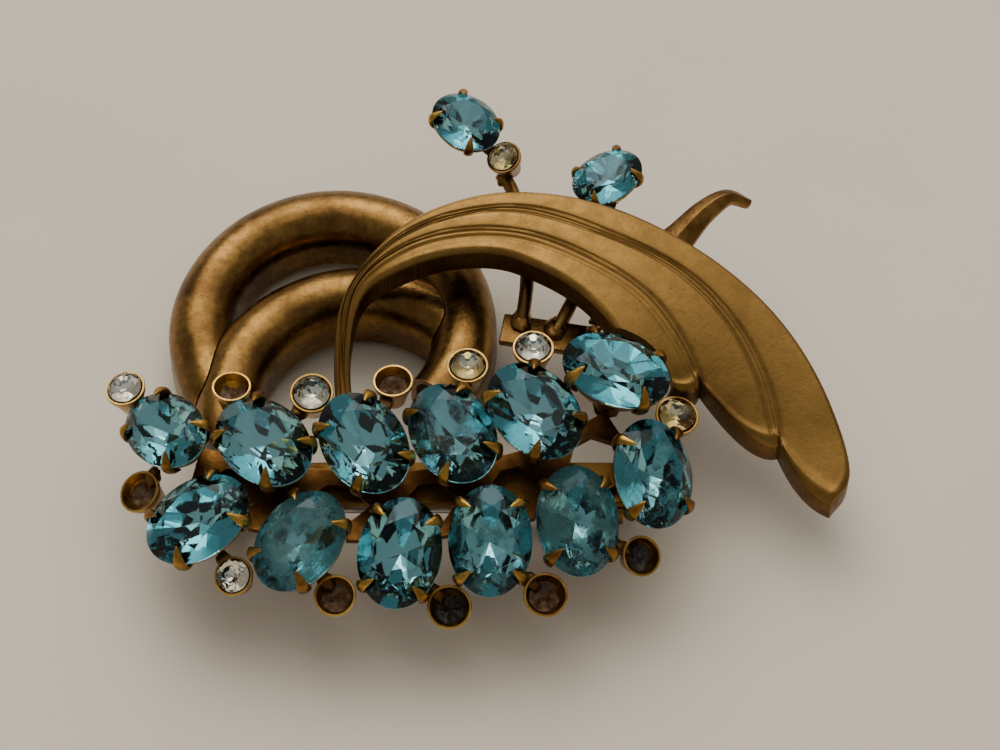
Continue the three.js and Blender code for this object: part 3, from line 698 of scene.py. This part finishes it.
def faceted_stone(half_length, half_width, crown, girdle, keel, table_share):
    """A brilliant-cut stone stretched to an oval. Finish 0 is glass, 1 the foil, 2 the foil's paint."""
    star_share, lower_share = 0.8, 0.42

    def spot(turn, share, height):
        angle = radians(turn)
        return Vector((half_length * share * cos(angle), half_width * share * sin(angle), height))

    step = 45
    half_step = step / 2
    lean = cos(radians(half_step))
    star_height = girdle + (crown - girdle) * (1 - star_share * lean) / (1 - table_share)
    lower_height = -girdle + (keel + girdle) * (1 - lower_share * lean)
    culet = Vector((0, 0, keel))
    fine = 3
    stone = Shape()

    def face(points, finish):
        middle = sum(points, Vector()) / len(points)
        normal = (points[1] - points[0]).cross(points[2] - points[0])
        ordered = points if normal.dot(middle - Vector((0, 0, girdle * 0.2))) > 0 else points[::-1]
        stone.add(ordered, [list(range(len(points)))], finish)

    face([spot(step * k, table_share, crown) for k in range(8)], 0)
    for k in range(8):
        turn = step * k
        table, next_table = (spot(at, table_share, crown) for at in (turn, turn + step))
        top, low = (spot(turn, 1, height) for height in (girdle, -girdle))
        beside = (turn + half_step, turn - half_step)
        star, last_star = (spot(at, star_share, star_height) for at in beside)
        lower, last_lower = (spot(at, lower_share, lower_height) for at in beside)
        face([table, next_table, star], 0)
        face([table, star, top, last_star], 0)
        face([culet, lower, low, last_lower], 1)
        for side in (0, 1):
            start = turn + side * half_step
            edge_top, edge_low = (
                [spot(start + half_step * i / fine, 1, height) for i in range(fine + 1)]
                for height in (girdle, -girdle)
            )
            for i in range(fine):
                face([star, edge_top[i], edge_top[i + 1]], 0)
                face([edge_top[i], edge_top[i + 1], edge_low[i + 1], edge_low[i]], 0)
                face([lower, edge_low[i], edge_low[i + 1]], 1)
    paint_depth = 0.07
    segments = 48
    levels = ((1.0, -girdle), (0.99, -girdle - paint_depth), (0.5, keel * 0.55 - paint_depth),
              (0.02, keel - 2 * paint_depth))
    rings = [[spot(360 * i / segments, share, height) for i in range(segments)] for share, height in levels]
    faces = [
        [r * segments + i, (r + 1) * segments + i, (r + 1) * segments + (i + 1) % segments,
         r * segments + (i + 1) % segments]
        for r in range(len(rings) - 1) for i in range(segments)
    ]
    faces.append([len(rings) * segments - 1 - i for i in range(segments)])
    stone.add([p for ring in rings for p in ring], faces, 2)
    return stone


def add_oval_stone(name):
    """An oval stone in its seat, with its own foil."""
    shape = faceted_stone(*OVAL_HALF, STONE["table"], STONE["girdle"], STONE["keel"], 0.6)
    stone = Shape().join(shape, oval_seat(name))
    make_piece(f"glass_{name}", stone, [aqua_glass, aqua_foil(name), foil_paint], [f"stone_{name}"],
               smooth=None, outward=False)


def add_chaton(name, node, seat, kind):
    """A small round stone a little below its cup's rim."""
    radius = CHATON["radius"]
    shape = faceted_stone(radius, radius, CHATON["crown"], CHATON["girdle"], CHATON["pavilion"], 0.56)
    mirror = yellow_foil if kind == "yellowed" else silver_foil
    raised = seat @ Matrix.Translation((0, 0, CHATON["lift"]))
    make_piece(name, Shape().join(shape, raised), [clear_glass, mirror, foil_paint], [node],
               smooth=None, outward=False)


# ---- settings and cups ----


# Along a claw from foot to point: outward and up from the girdle, half width, half thickness.
CLAW = [(-0.75, -2.0, 0.66, 0.2), (-0.3, -1.4, 0.7, 0.3), (0.16, -0.7, 0.72, 0.32), (0.28, 0.0, 0.72, 0.33),
        (0.26, 0.5, 0.7, 0.33), (0.04, 0.98, 0.6, 0.31), (-0.45, 1.36, 0.46, 0.28),
        (-0.95, 1.74, 0.27, 0.21), (-1.35, 1.98, 0.07, 0.08)]
# Round the section of a basket: swell beyond the stone's outline, share of its size, height.
BASKET = [(-0.3, 0.66, -3.1), (0.1, 0.66, -3.1), (0.2, 0.66, -2.95), (0.16, 0.69, -2.6), (0.06, 0.74, -2.3),
          (0.02, 0.9, -1.2), (0.1, 0.93, -0.85), (0.16, 0.95, -0.6), (0.14, 0.95, -0.45),
          (0.04, 0.95, -0.38), (-0.05, 0.94, -0.45), (-0.1, 0.9, -0.9), (-0.2, 0.8, -1.6), (-0.3, 0.7, -2.6)]


def claw(angle, chance):
    """A pointed claw that rises beside the girdle and bends in over the crown."""
    half_length, half_width = OVAL_HALF
    edge = Vector((half_length * cos(angle), half_width * sin(angle), 0))
    outward = Vector((cos(angle) / half_length, sin(angle) / half_width, 0)).normalized()
    sideways = UP.cross(outward)
    lean = chance.uniform(-0.12, 0.12)
    reach = chance.uniform(0.86, 1.0)
    line = [Vector((out * (reach if up > 0 else 1), up, 0)) for out, up, _, _ in CLAW]
    shares = [i / 16 for i in range(17)]
    spine = curve_points(line, shares)
    lengths = np.concatenate([[0], np.cumsum([(b - a).length for a, b in zip(line, line[1:])])])
    widths = np.interp(np.array(shares) * lengths[-1], lengths, [p[2] for p in CLAW])
    thicknesses = np.interp(np.array(shares) * lengths[-1], lengths, [p[3] for p in CLAW])
    rings = []
    for i, spot in enumerate(spine):
        ahead = (spine[min(i + 1, 16)] - spine[max(i - 1, 0)]).normalized()
        outer = Vector((ahead.y, -ahead.x, 0))
        ring = []
        for x, y in circle(12):
            shift = spot + outer * thicknesses[i] * y
            across = widths[i] * x + lean * max(0.0, spot.y)
            ring.append(edge + outward * shift.x + sideways * across + UP * shift.y)
        rings.append(ring)
    return skin(rings)


def oval_ring(swell, share, height, segments=56):
    """An oval as long and wide as a stone's outline at that share, made wider by swell."""
    half_length, half_width = (half * share + swell for half in OVAL_HALF)
    return [(half_length * x, half_width * y, height) for x, y in circle(segments)]


def claw_setting(seed):
    """Tapered oval basket with a rim round the girdle, a foot rail and four claws."""
    chance = random.Random(seed)
    setting = skin([oval_ring(*level) for level in BASKET + BASKET[:1]], ends="open")
    for angle in (48, 132, 228, 312):
        setting.join(claw(radians(angle + chance.uniform(-3, 3)), chance))
    return setting


def add_setting(name):
    setting = claw_setting(name)
    basket = Shape().join(setting, oval_seat(name))
    make_piece(f"claws_{name}", basket, [setting_brass], [f"setting_{name}"],
               smooth=50)


def cup_shape(seed):
    """Round cup with a thin rolled rim, a ledge for the stone and a small foot."""
    rim, inner = CUP["rim"], CUP["rim"] - CUP["wall"]
    foot, depth, ledge, floor = CUP["foot"], -CUP["depth"], -CUP["seat"], -CUP["floor"]
    profile = [(0.02, depth), (foot - 0.15, depth), (foot, depth + 0.15), (1.6, -2.6), (1.98, -1.3),
               (rim - 0.12, -0.75), (rim - 0.03, -0.3), (rim, -0.1), (rim - 0.07, 0.0), (inner + 0.05, 0.0),
               (inner - 0.02, -0.08), (inner - 0.06, ledge + 0.2), (inner - 0.2, ledge),
               (1.3, floor + 0.4), (0.9, floor), (0.02, floor)]
    return turned(profile, wobble=0.03, seed=seed)


def glue_rest(seed):
    """Uneven glue that covers the bottom of an empty cup, higher on one side."""
    chance = random.Random(seed)
    tilt = chance.uniform(0, 2 * pi)
    lowest = -CUP["floor"] + 0.05
    rings = []
    for share in (1.0, 0.85, 0.65, 0.45, 0.25, 0.05):
        ring = []
        for k, (across, forward) in enumerate(circle(40)):
            x, y = across * share, forward * share
            lift = 0.55 * noise.noise(Vector((2.2 * x, 2.2 * y, 3.7 * seed)))
            lift += 0.25 * share * cos(2 * pi * k / 40 - tilt)
            height = lowest + 0.4 + lift + 0.5 * share * share
            ring.append((1.62 * x, 1.62 * y, min(max(height, lowest), -1.2)))
        rings.append(ring)
    under = [(0.8 * x, 0.8 * y, lowest) for x, y, _ in rings[0]]
    return skin([under] + rings)


def add_cups():
    for number in range(1, 14):
        seat = cup_seat(number)
        cup = Shape().join(cup_shape(number), seat)
        make_piece(f"round_cup_{number}", cup, [cup_brass], [f"cup_{number}"])
        if number in CUP_STONES:
            add_chaton(f"round_stone_{number}", f"chaton_{number}", seat, CUP_STONES[number])
        else:
            glue = black_glue if number in DARK_CUPS else brown_glue
            make_piece(f"glue_{number}", Shape().join(glue_rest(number), seat), [glue], smooth=60)


def add_solder():
    """Solder that holds each cup to the nearest setting, and posts from settings to the plate."""
    seats = {name: oval_seat(name) for name in OVAL_NAMES}
    chance = random.Random(7)
    solder = Shape()
    for number in range(1, 14):
        seat = cup_seat(number)
        side = seat @ Vector((0, 0, -1.5))
        near = min(seats.values(), key=lambda other: (other.translation - side).length)
        towards = near @ Vector((0, 0, -0.9)) - side
        flat = towards.normalized()
        turn = flat.to_track_quat("X", "Z").to_matrix()
        solder.join(lump(side + flat * 2.1, (1.25, 0.85, 0.8), number, 0.3, turn))
    for index, seat in enumerate(seats.values()):
        foot = seat @ Vector((0, 0, -3.25))
        if foot.z < PLATE_TOP + 0.5:
            continue
        base = Vector((foot.x + chance.uniform(-0.3, 0.3), foot.y + chance.uniform(-0.3, 0.3), 8.6))
        solder.join(tube([base, base.lerp(foot, 0.5), foot], [1.15, 0.9, 1.3], 18))
        solder.join(lump(base + Vector((0, 0, 0.4)), (1.5, 1.3, 0.5), 40 + index))
    make_piece("solder_joints", solder, [solder_metal], smooth=60)


# ---- loops ----


def loop_ring(loop, bearing, section):
    """A cross section of a loop, from [outward, up] points, at an angle."""
    angle = radians(bearing)
    height = loop["low"] + (loop["high"] - loop["low"]) * (1 + cos(angle)) / 2
    centre_x, centre_y = loop["centre"]
    return [
        Vector((centre_x + (LOOP["radius"] + out) * cos(angle),
                centre_y + (LOOP["radius"] + out) * sin(angle), height + up))
        for out, up in section
    ]


def arch(half, skirt, arch_steps=20, skirt_steps=5):
    """Half round above and straight sides below, from the outer side over to the inner side."""
    side = [-skirt * (1 - k / skirt_steps) for k in range(skirt_steps)]
    section = [(half, up) for up in side]
    section += [(half * cos(pi * k / arch_steps), half * sin(pi * k / arch_steps))
                for k in range(arch_steps + 1)]
    section += [(-half, up) for up in reversed(side)]
    return section


def loop_room(loop, start, end):
    """The space another loop takes, a little larger, as a solid cutter."""
    section = arch(LOOP["half"] + SOLDER_GAP, LOOP["skirt"] + 3)
    steps = 48
    return skin([loop_ring(loop, start + (end - start) * k / steps, section) for k in range(steps + 1)])


def channel_loop(loop, dent=None):
    """A loop stamped from sheet: an arched channel, open below, slightly uneven and dented."""
    outer = arch(LOOP["half"], LOOP["skirt"])
    inner = arch(LOOP["half"] - LOOP["wall"], LOOP["skirt"])
    lip = LOOP["half"] - LOOP["lip"]
    section = outer + [(-lip, -LOOP["skirt"])] + inner[::-1] + [(lip, -LOOP["skirt"])]
    steps = 110
    rings = []
    for k in range(steps + 1):
        bearing = loop["start"] + (loop["end"] - loop["start"]) * k / steps
        ring = loop_ring(loop, bearing, section)
        middle, = loop_ring(loop, bearing, [(0, -0.5)])
        for i, point in enumerate(ring):
            swell = 0.05 * noise.noise(point * 0.16) + 0.015 * noise.noise(point * 0.6)
            if dent:
                spot, size, depth = dent
                swell -= depth * exp(-((point - spot).length / size) ** 2)
            away = point - middle
            away.z = max(away.z, 0.0)
            ring[i] = point + away.normalized() * swell
        rings.append(ring)
    body = skin(rings, ends="open")
    count, half_count = len(section), len(outer)
    pairs = [(i, (2 * half_count - i) % count) for i in range(half_count)]
    cap = [[a, c, d, b] for (a, b), (c, d) in zip(pairs, pairs[1:])]
    cap += [[*pairs[0], count - 1], [pairs[-1][0], half_count, pairs[-1][1]]]
    for start in (0, steps * count):
        body.faces.extend([start + i for i in face] for face in cap)
        body.finishes.extend([0] * len(cap))
    return body


def add_loops():
    dent = (Vector((-32.4, 2.6, 6.8)), 2.6, 0.28)
    outer = carved(channel_loop(OUTER_LOOP, dent), cutters=[loop_room(INNER_LOOP, 214, 120)])
    inner = carved(channel_loop(INNER_LOOP), cutters=[loop_room(OUTER_LOOP, 60, -50)])
    for name, shape, node in (("wide_loop", outer, "outer_loop"), ("low_loop", inner, "inner_loop")):
        make_piece(name, largest_island(shape), [gilt_brass], [node], smooth=45)


# ---- plume ----


def smooth_reading(table, key):
    """Reading of a table of pairs along a curve that is smooth through them."""
    keys = [k for k, _ in table]
    values = [v for _, v in table]
    if key <= keys[0] or key >= keys[-1]:
        return values[0] if key <= keys[0] else values[-1]
    i = max(k for k in range(len(keys) - 1) if keys[k] <= key)

    def slope(k):
        a, b = max(k - 1, 0), min(k + 1, len(keys) - 1)
        return (values[b] - values[a]) / (keys[b] - keys[a])

    width = keys[i + 1] - keys[i]
    t = (key - keys[i]) / width
    return ((2 * t ** 3 - 3 * t ** 2 + 1) * values[i] + (t ** 3 - 2 * t ** 2 + t) * width * slope(i)
            + (3 * t ** 2 - 2 * t ** 3) * values[i + 1] + (t ** 3 - t ** 2) * width * slope(i + 1))


def plume_height(x, y):
    angle = degrees(atan2(y - PLUME_HUB[1], x - PLUME_HUB[0]))
    return smooth_reading(PLUME_HEIGHTS, angle)


def plume_relief(from_left, from_right, left_shared, right_shared, from_tip):
    """How far the plume's face stands above its mean: ribs on shared edges, rounded free edges."""
    lift = 0.0
    for distance, shared in ((from_left, left_shared), (from_right, right_shared)):
        if shared:
            lift += 0.13 * (1 - smoothstep(distance, 0.3, 0.75))
            lift -= 0.09 * exp(-((distance - 0.95) / 0.22) ** 2)
        else:
            lift += 0.07 * exp(-((distance - 0.75) / 0.35) ** 2)
            lift -= 0.2 * max(0.0, 1 - distance / 0.3) ** 2
    lift += 0.22 * exp(-((from_tip - 0.95) / 0.5) ** 2)
    lift -= 0.45 * max(0.0, 1 - from_tip / 0.6) ** 2
    return lift


def plume_shape():
    """Three lobes side by side in one skin: a relief above, hollow below inside thick edges."""
    length = 75.0
    tip_gaps = (2.6, 2.2, 1.8, 1.5, 1.2, 0.95, 0.72, 0.5, 0.32, 0.18, 0.08, 0.0)
    tip_steps = [1 - gap / length for gap in tip_gaps]
    shares = list(np.linspace(0, tip_steps[0], 128))[:-1] + tip_steps
    edges = [curve_points(edge, shares) for edge in PLUME_EDGES]
    columns = 36
    spread = [-cos(pi * k / columns) for k in range(columns + 1)]
    start = PLUME["hollow_from"]
    top, bottom = [], []
    for row, share in enumerate(shares):
        upper, lower = [], []
        for lobe in range(3):
            a, b = edges[lobe][row], edges[lobe + 1][row]
            middle, half = (a + b) / 2, (b - a) / 2
            before, after = max(row - 1, 0), min(row + 1, len(shares) - 1)
            ahead = sum((edge[after] - edge[before] for edge in edges[lobe:lobe + 2]), Vector()).normalized()
            for across in spread[(1 if lobe else 0):]:
                reach = PLUME_BULGES[lobe] * (1 - across * across) * smoothstep(share, 0.6, 1)
                spot = middle + half * across + ahead * reach
                left, right = (1 + across) * half.length, (1 - across) * half.length
                from_tip = (1 - share) * length
                crown = PLUME["crown"] * (1 - across ** 4) * min(1, half.length / 2)
                relief = plume_relief(left, right, lobe > 0, lobe < 2, from_tip)
                relief *= min(1, 0.35 + half.length / 2.5)
                uneven = 0.05 * noise.noise(spot * 0.18)
                height = plume_height(spot.x, spot.y)
                upper.append(Vector((spot.x, spot.y, height + crown + relief + uneven)))
                rim = min(left, right, from_tip)
                hollow = smoothstep(rim, 0.5, 0.75) * smoothstep(share, start - 0.01, start + 0.01)
                depth = PLUME["wall"] - (PLUME["wall"] - PLUME["skin"]) * hollow
                lower.append(Vector((spot.x, spot.y, height - depth)))
        top.append(upper)
        bottom.append(lower)
    rows, count = len(shares), len(top[0])
    size = rows * count
    plume = Shape().add([p for row in top + bottom for p in row], [])

    def quad(*corners, finish=1):
        plume.faces.append(corners)
        plume.finishes.append(finish)

    for row in range(rows - 1):
        for i in range(count - 1):
            a = row * count + i
            quad(a, a + 1, a + count + 1, a + count, finish=0)
            quad(size + a, size + a + count, size + a + count + 1, size + a + 1)
        for i in (0, count - 1):
            a = row * count + i
            quad(a, a + count, size + a + count, size + a)
    for row in (0, rows - 1):
        for i in range(count - 1):
            a = row * count + i
            quad(a, a + 1, size + a + 1, size + a)
    return plume


def notch_room(seat):
    """The space round a stone's setting that the plume is cut away for."""
    return skin([[seat @ Vector(p) for p in oval_ring(0.85, 1.0, height)] for height in (-6.0, 5.0)])


def add_plume():
    shape = carved(plume_shape(), cutters=[notch_room(oval_seat("rear_6"))])
    make_piece("feather", largest_island(shape), [plume_brass, filed_brass], ["plume"],
               smooth=38)


# ---- leaf and stems ----


def add_leaf():
    """Narrow leaf folded along its middle, with its tip rolled over."""
    steps = 60
    line = curve_points(LEAF_LINE, steps + 1)
    rings = []
    section = [-1.0, -0.9, -0.7, -0.45, -0.2, -0.07, 0.0, 0.07, 0.2, 0.45, 0.7, 0.9, 1.0]
    for k, spot in enumerate(line):
        along = k / steps
        ahead = (line[min(k + 1, steps)] - line[max(k - 1, 0)]).normalized()
        width = smooth_reading([(i / 5, w) for i, w in enumerate(LEAF_HALF_WIDTHS)], along)
        side = UP.cross(ahead).normalized()
        up = ahead.cross(side).normalized()
        fold = LEAF["fold"] * (1 - 0.6 * along)
        vein = 0.1 * (1 - along)

        def at(across, lift):
            drop = -fold * abs(across) ** 1.3 + vein * exp(-(across / 0.12) ** 2)
            return spot + side * across * width + up * (drop + lift)

        upper = [at(s, 0) for s in section]
        edge = [at(1.0, -0.15) + side * 0.07, at(1.0, -LEAF["skin"] + 0.15) + side * 0.07]
        lower = [at(s, -LEAF["skin"]) for s in reversed(section)]
        other_edge = [at(-1.0, -LEAF["skin"] + 0.15) - side * 0.07, at(-1.0, -0.15) - side * 0.07]
        rings.append(upper + edge + lower + other_edge)
    make_piece("leaf", skin(rings), [gilt_brass], ["small_leaf"], smooth=45)


def add_stems():
    """Two bent wires soldered to a cross strip, with a small cup between their heads."""
    wires = Shape()
    for index, stem in enumerate(STEMS):
        line = curve_points(stem, 40)
        for k, spot in enumerate(line):
            line[k] = spot + Vector((0.06 * noise.noise(spot * 0.4), 0, 0.05 * noise.noise(spot * 0.5)))
        radii = [STEM_RADIUS * (1 + 0.03 * noise.noise(p * 0.9)) for p in line]
        wires.join(tube(line, radii))
        wires.join(lump(line[0] + Vector((0, 0.4, 0.1)), (1.15, 1.5, 0.8), 3 + index))
        wires.join(lump(line[-1] - Vector((0, 0, 0.3)), (0.95, 0.95, 0.9), 11 + index))
    seat = leaning_seat(STEM_CUP)
    wires.join(cup_shape(20), seat)
    cup_side = seat @ Vector((-1.2, 0.8, -2.2))
    for head, start in (("head_left", cup_side), ("head_right", Vector(STEMS[1][-1]))):
        rail = [oval_seat(head) @ Vector(p) for p in oval_ring(0.0, 0.68, -2.8)]
        end = min(rail, key=lambda point: (point - start).length)
        wires.join(tube([start, start.lerp(end, 0.5), end], [0.8, 0.6, 0.8], 18))
    bar = block(STRIP["size"], STRIP["centre"], STRIP["turn"])
    make_piece("stem_wires", wires, [gilt_brass], ["stem_bracket"], smooth=45)
    make_piece("stem_strip", bar, [gilt_brass], bevel=0.15)
    add_chaton("round_stone_stem", "chaton_stem", seat, "yellowed")


# ---- pin, hinge and catch ----


def along_x(radius, start, end, segments=48):
    return rod(radius, (start, PIN["y"], PIN["z"]), (end, PIN["y"], PIN["z"]), segments)


def across_y(radius, length, y=None, segments=40):
    middle = PIN["y"] if y is None else y
    start, end = ((PIN["hinge"], middle + side * length / 2, PIN["z"]) for side in (-1, 1))
    return rod(radius, start, end, segments)


def add_pin_bar():
    middle = (BAR["from"] + BAR["to"]) / 2
    size = (BAR["to"] - BAR["from"], BAR["width"], BAR["top"] - BAR["bottom"])
    bar = block(size, (middle, PIN["y"], BAR["bottom"] + size[2] / 2))
    make_piece("back_bar", bar, [back_brass], ["pin_bar"], bevel=0.2)
    solder = Shape()
    for index, x in enumerate((PIN["hinge"] - 2.4, PIN["hinge"] + 2.4, CATCH["x"] - 2.0, CATCH["x"] + 1.9)):
        solder.join(lump((x, PIN["y"] + 0.4, BAR["bottom"] - 0.15), (0.9, 1.9, 0.32), 60 + index))
    make_piece("bar_solder", solder, [solder_metal], smooth=60)


def foot_plate(x, length):
    thick = FOOT["top"] - FOOT["bottom"]
    return block((length, BAR["width"], thick), (x, PIN["y"], FOOT["bottom"] + thick / 2))


def add_hinge():
    """Foot with two ears and the rivet through them; the pin is made in add_pin."""
    ear_height = FOOT["bottom"] + 0.3 - PIN["z"]
    ears = []
    for side in (-1, 1):
        y = PIN["y"] + side * (HINGE["gap"] + HINGE["thick"]) / 2
        size = (2 * HINGE["ear"], HINGE["thick"], ear_height)
        ears.append(block(size, (PIN["hinge"], y, PIN["z"] + ear_height / 2)))
        ears.append(across_y(HINGE["ear"], HINGE["thick"], y))
    hinge = carved(foot_plate(PIN["hinge"], 5.6), joins=ears, cutters=[across_y(HINGE["hole"], 10)])
    make_piece("hinge", hinge, [back_brass], ["hinge_block"], bevel=0.09)

    half_span = HINGE["gap"] / 2 + HINGE["thick"] + 0.1
    rivet = across_y(HINGE["rivet"], 2 * half_span)
    for side in (-1, 1):
        turn = Matrix.Rotation(radians(-90 * side), 4, "X")
        head = turned([(0.02, 0), (0.85, 0), (1.0, 0.1), (0.98, 0.22), (0.75, 0.36), (0.02, 0.4)], 32)
        seat = Matrix.Translation((PIN["hinge"], PIN["y"] + side * half_span, PIN["z"])) @ turn
        rivet.join(head, seat)
    make_piece("rivet", rivet, [back_brass], ["hinge_rivet"])


def add_pin():
    """Knuckle, straight wire and sharpened point."""
    wire_end = PIN["tip"] - PIN["point"]
    outline = [(PIN["hinge"], PIN["radius"]), (wire_end, PIN["radius"]), (wire_end + 1.2, 0.44),
               (PIN["tip"] - 1, 0.2), (PIN["tip"] - 0.05, 0.07), (PIN["tip"], 0.03)]
    line = [Vector((x, PIN["y"], PIN["z"])) for x, _ in outline]
    wire = tube(line, [radius for _, radius in outline], 32)
    knuckle = across_y(HINGE["knuckle"], HINGE["gap"] - 0.4, segments=56)
    pin = carved(knuckle, joins=[wire], cutters=[across_y(HINGE["hole"], 10)])
    make_piece("pin", pin, [pin_steel], ["pin_stem"], body="pin_stem", bevel=0.05)


def add_catch():
    """Round housing with a slot below, and the slotted roller that shuts it."""
    x, y, z = CATCH["x"], PIN["y"], PIN["z"]
    half = CATCH["length"] / 2
    neck_height = FOOT["bottom"] + 0.3 - z
    neck = block((CATCH["length"], CATCH["neck"], neck_height), (x, y, z + neck_height / 2))
    housing = carved(
        along_x(CATCH["outer"], x - half, x + half),
        joins=[neck, foot_plate(x, 4.6)],
        cutters=[along_x(CATCH["bore"], x - 5, x + 5), block((10, CATCH["slot"], 4), (x, y, z - 2))],
    )
    make_piece("catch", housing, [back_brass], ["catch_body"], bevel=0.08)

    end = half + 0.15
    parts = []
    for side in (-1, 1):
        parts.append(along_x(ROLLER["flange"], x + side * (end - 0.01), x + side * (end + ROLLER["thick"])))
    lever_x = x + end + ROLLER["thick"] / 2
    parts.append(block((ROLLER["thick"], ROLLER["lever"], 0.7), (lever_x, y + ROLLER["lever"] / 2, z)))
    roller = carved(
        along_x(ROLLER["outer"], x - end, x + end),
        joins=parts,
        cutters=[along_x(ROLLER["bore"], x - 5, x + 5, 32), block((10, ROLLER["slot"], 4), (x, y, z - 2))],
    )
    make_piece("roller", roller, [back_brass], ["catch_roller"], body="catch_roller",
               bevel=0.07)


def dress_plate():
    """The openwork plate keeps its CAD shape, with its edges softened."""
    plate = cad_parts["base_plate"]
    for slot in plate.material_slots:
        slot.material = plate_brass
    round_edges(plate, 0.12)


# ---- floor, light and camera ----


def add_floor():
    """A wide board at the height of the object's lowest point."""
    reach, low = FLOOR_REACH * MM, bounds_at_load[0].z
    mesh = bpy.data.meshes.new("floor")
    corners = [(x * reach, y * reach, low) for x, y in ((-1, -1), (1, -1), (1, 1), (-1, 1))]
    mesh.from_pydata(corners, [], [[0, 1, 2, 3]])
    mesh.materials.append(paper_floor("floor board"))
    placed("floor", mesh)


def add_window():
    """A soft square light, in millimetres, that looks at the object."""
    light = bpy.data.lights.new("window", "AREA")
    light.shape = "RECTANGLE"
    light.size, light.size_y = (s * MM for s in WINDOW["size"])
    light.energy = WINDOW["power"]
    light.color = WINDOW["colour"]
    lamp = placed("window", light)
    lamp.location = Vector(WINDOW["place"]) * MM
    towards = Vector(WINDOW["aim"]) - Vector(WINDOW["place"])
    lamp.rotation_euler = towards.to_track_quat("-Z", "Y").to_euler()


def add_sky():
    """Light from all round, bright behind and above the object and dim elsewhere."""
    world = bpy.data.worlds.new("room")
    sky = NodeTree(world)
    background = sky.tree.nodes["Background"]
    background.inputs["Color"].default_value = (*SKY["colour"], 1)
    likeness = sky.add("ShaderNodeVectorMath", operation="DOT_PRODUCT")
    likeness.inputs[1].default_value = Vector(SKY["towards"]).normalized()
    sky.join(sky.add("ShaderNodeTexCoord").outputs["Generated"], likeness.inputs[0])
    strength = sky.ramp(likeness.outputs["Value"], SKY["edge"], SKY["core"], SKY["dim"], SKY["bright"])
    sky.join(strength, background.inputs["Strength"])
    bpy.context.scene.world = world


def add_camera():
    """Looks along +Y and down at the object."""
    aim = (PART_ORIGIN + Vector(CAMERA["aim"])) * MM
    elevation = radians(CAMERA["elevation"])
    back = Vector((0, -cos(elevation), sin(elevation)))
    data = bpy.data.cameras.new("camera")
    data.lens = CAMERA["lens"]
    data.sensor_width = 36
    data.clip_start, data.clip_end = 0.01, 10
    camera = placed("camera", data)
    camera.location = aim + back * CAMERA["distance"] * MM
    camera.rotation_euler = (-back).to_track_quat("-Z", "Y").to_euler()
    bpy.context.scene.camera = camera


# ---- the whole brooch ----

for stone_name in OVAL_NAMES + HEAD_NAMES:
    add_oval_stone(stone_name)
    add_setting(stone_name)
add_cups()
add_solder()
add_loops()
add_plume()
add_leaf()
add_stems()
dress_plate()
add_pin_bar()
add_hinge()
add_pin()
add_catch()
add_floor()
add_window()
add_sky()
add_camera()
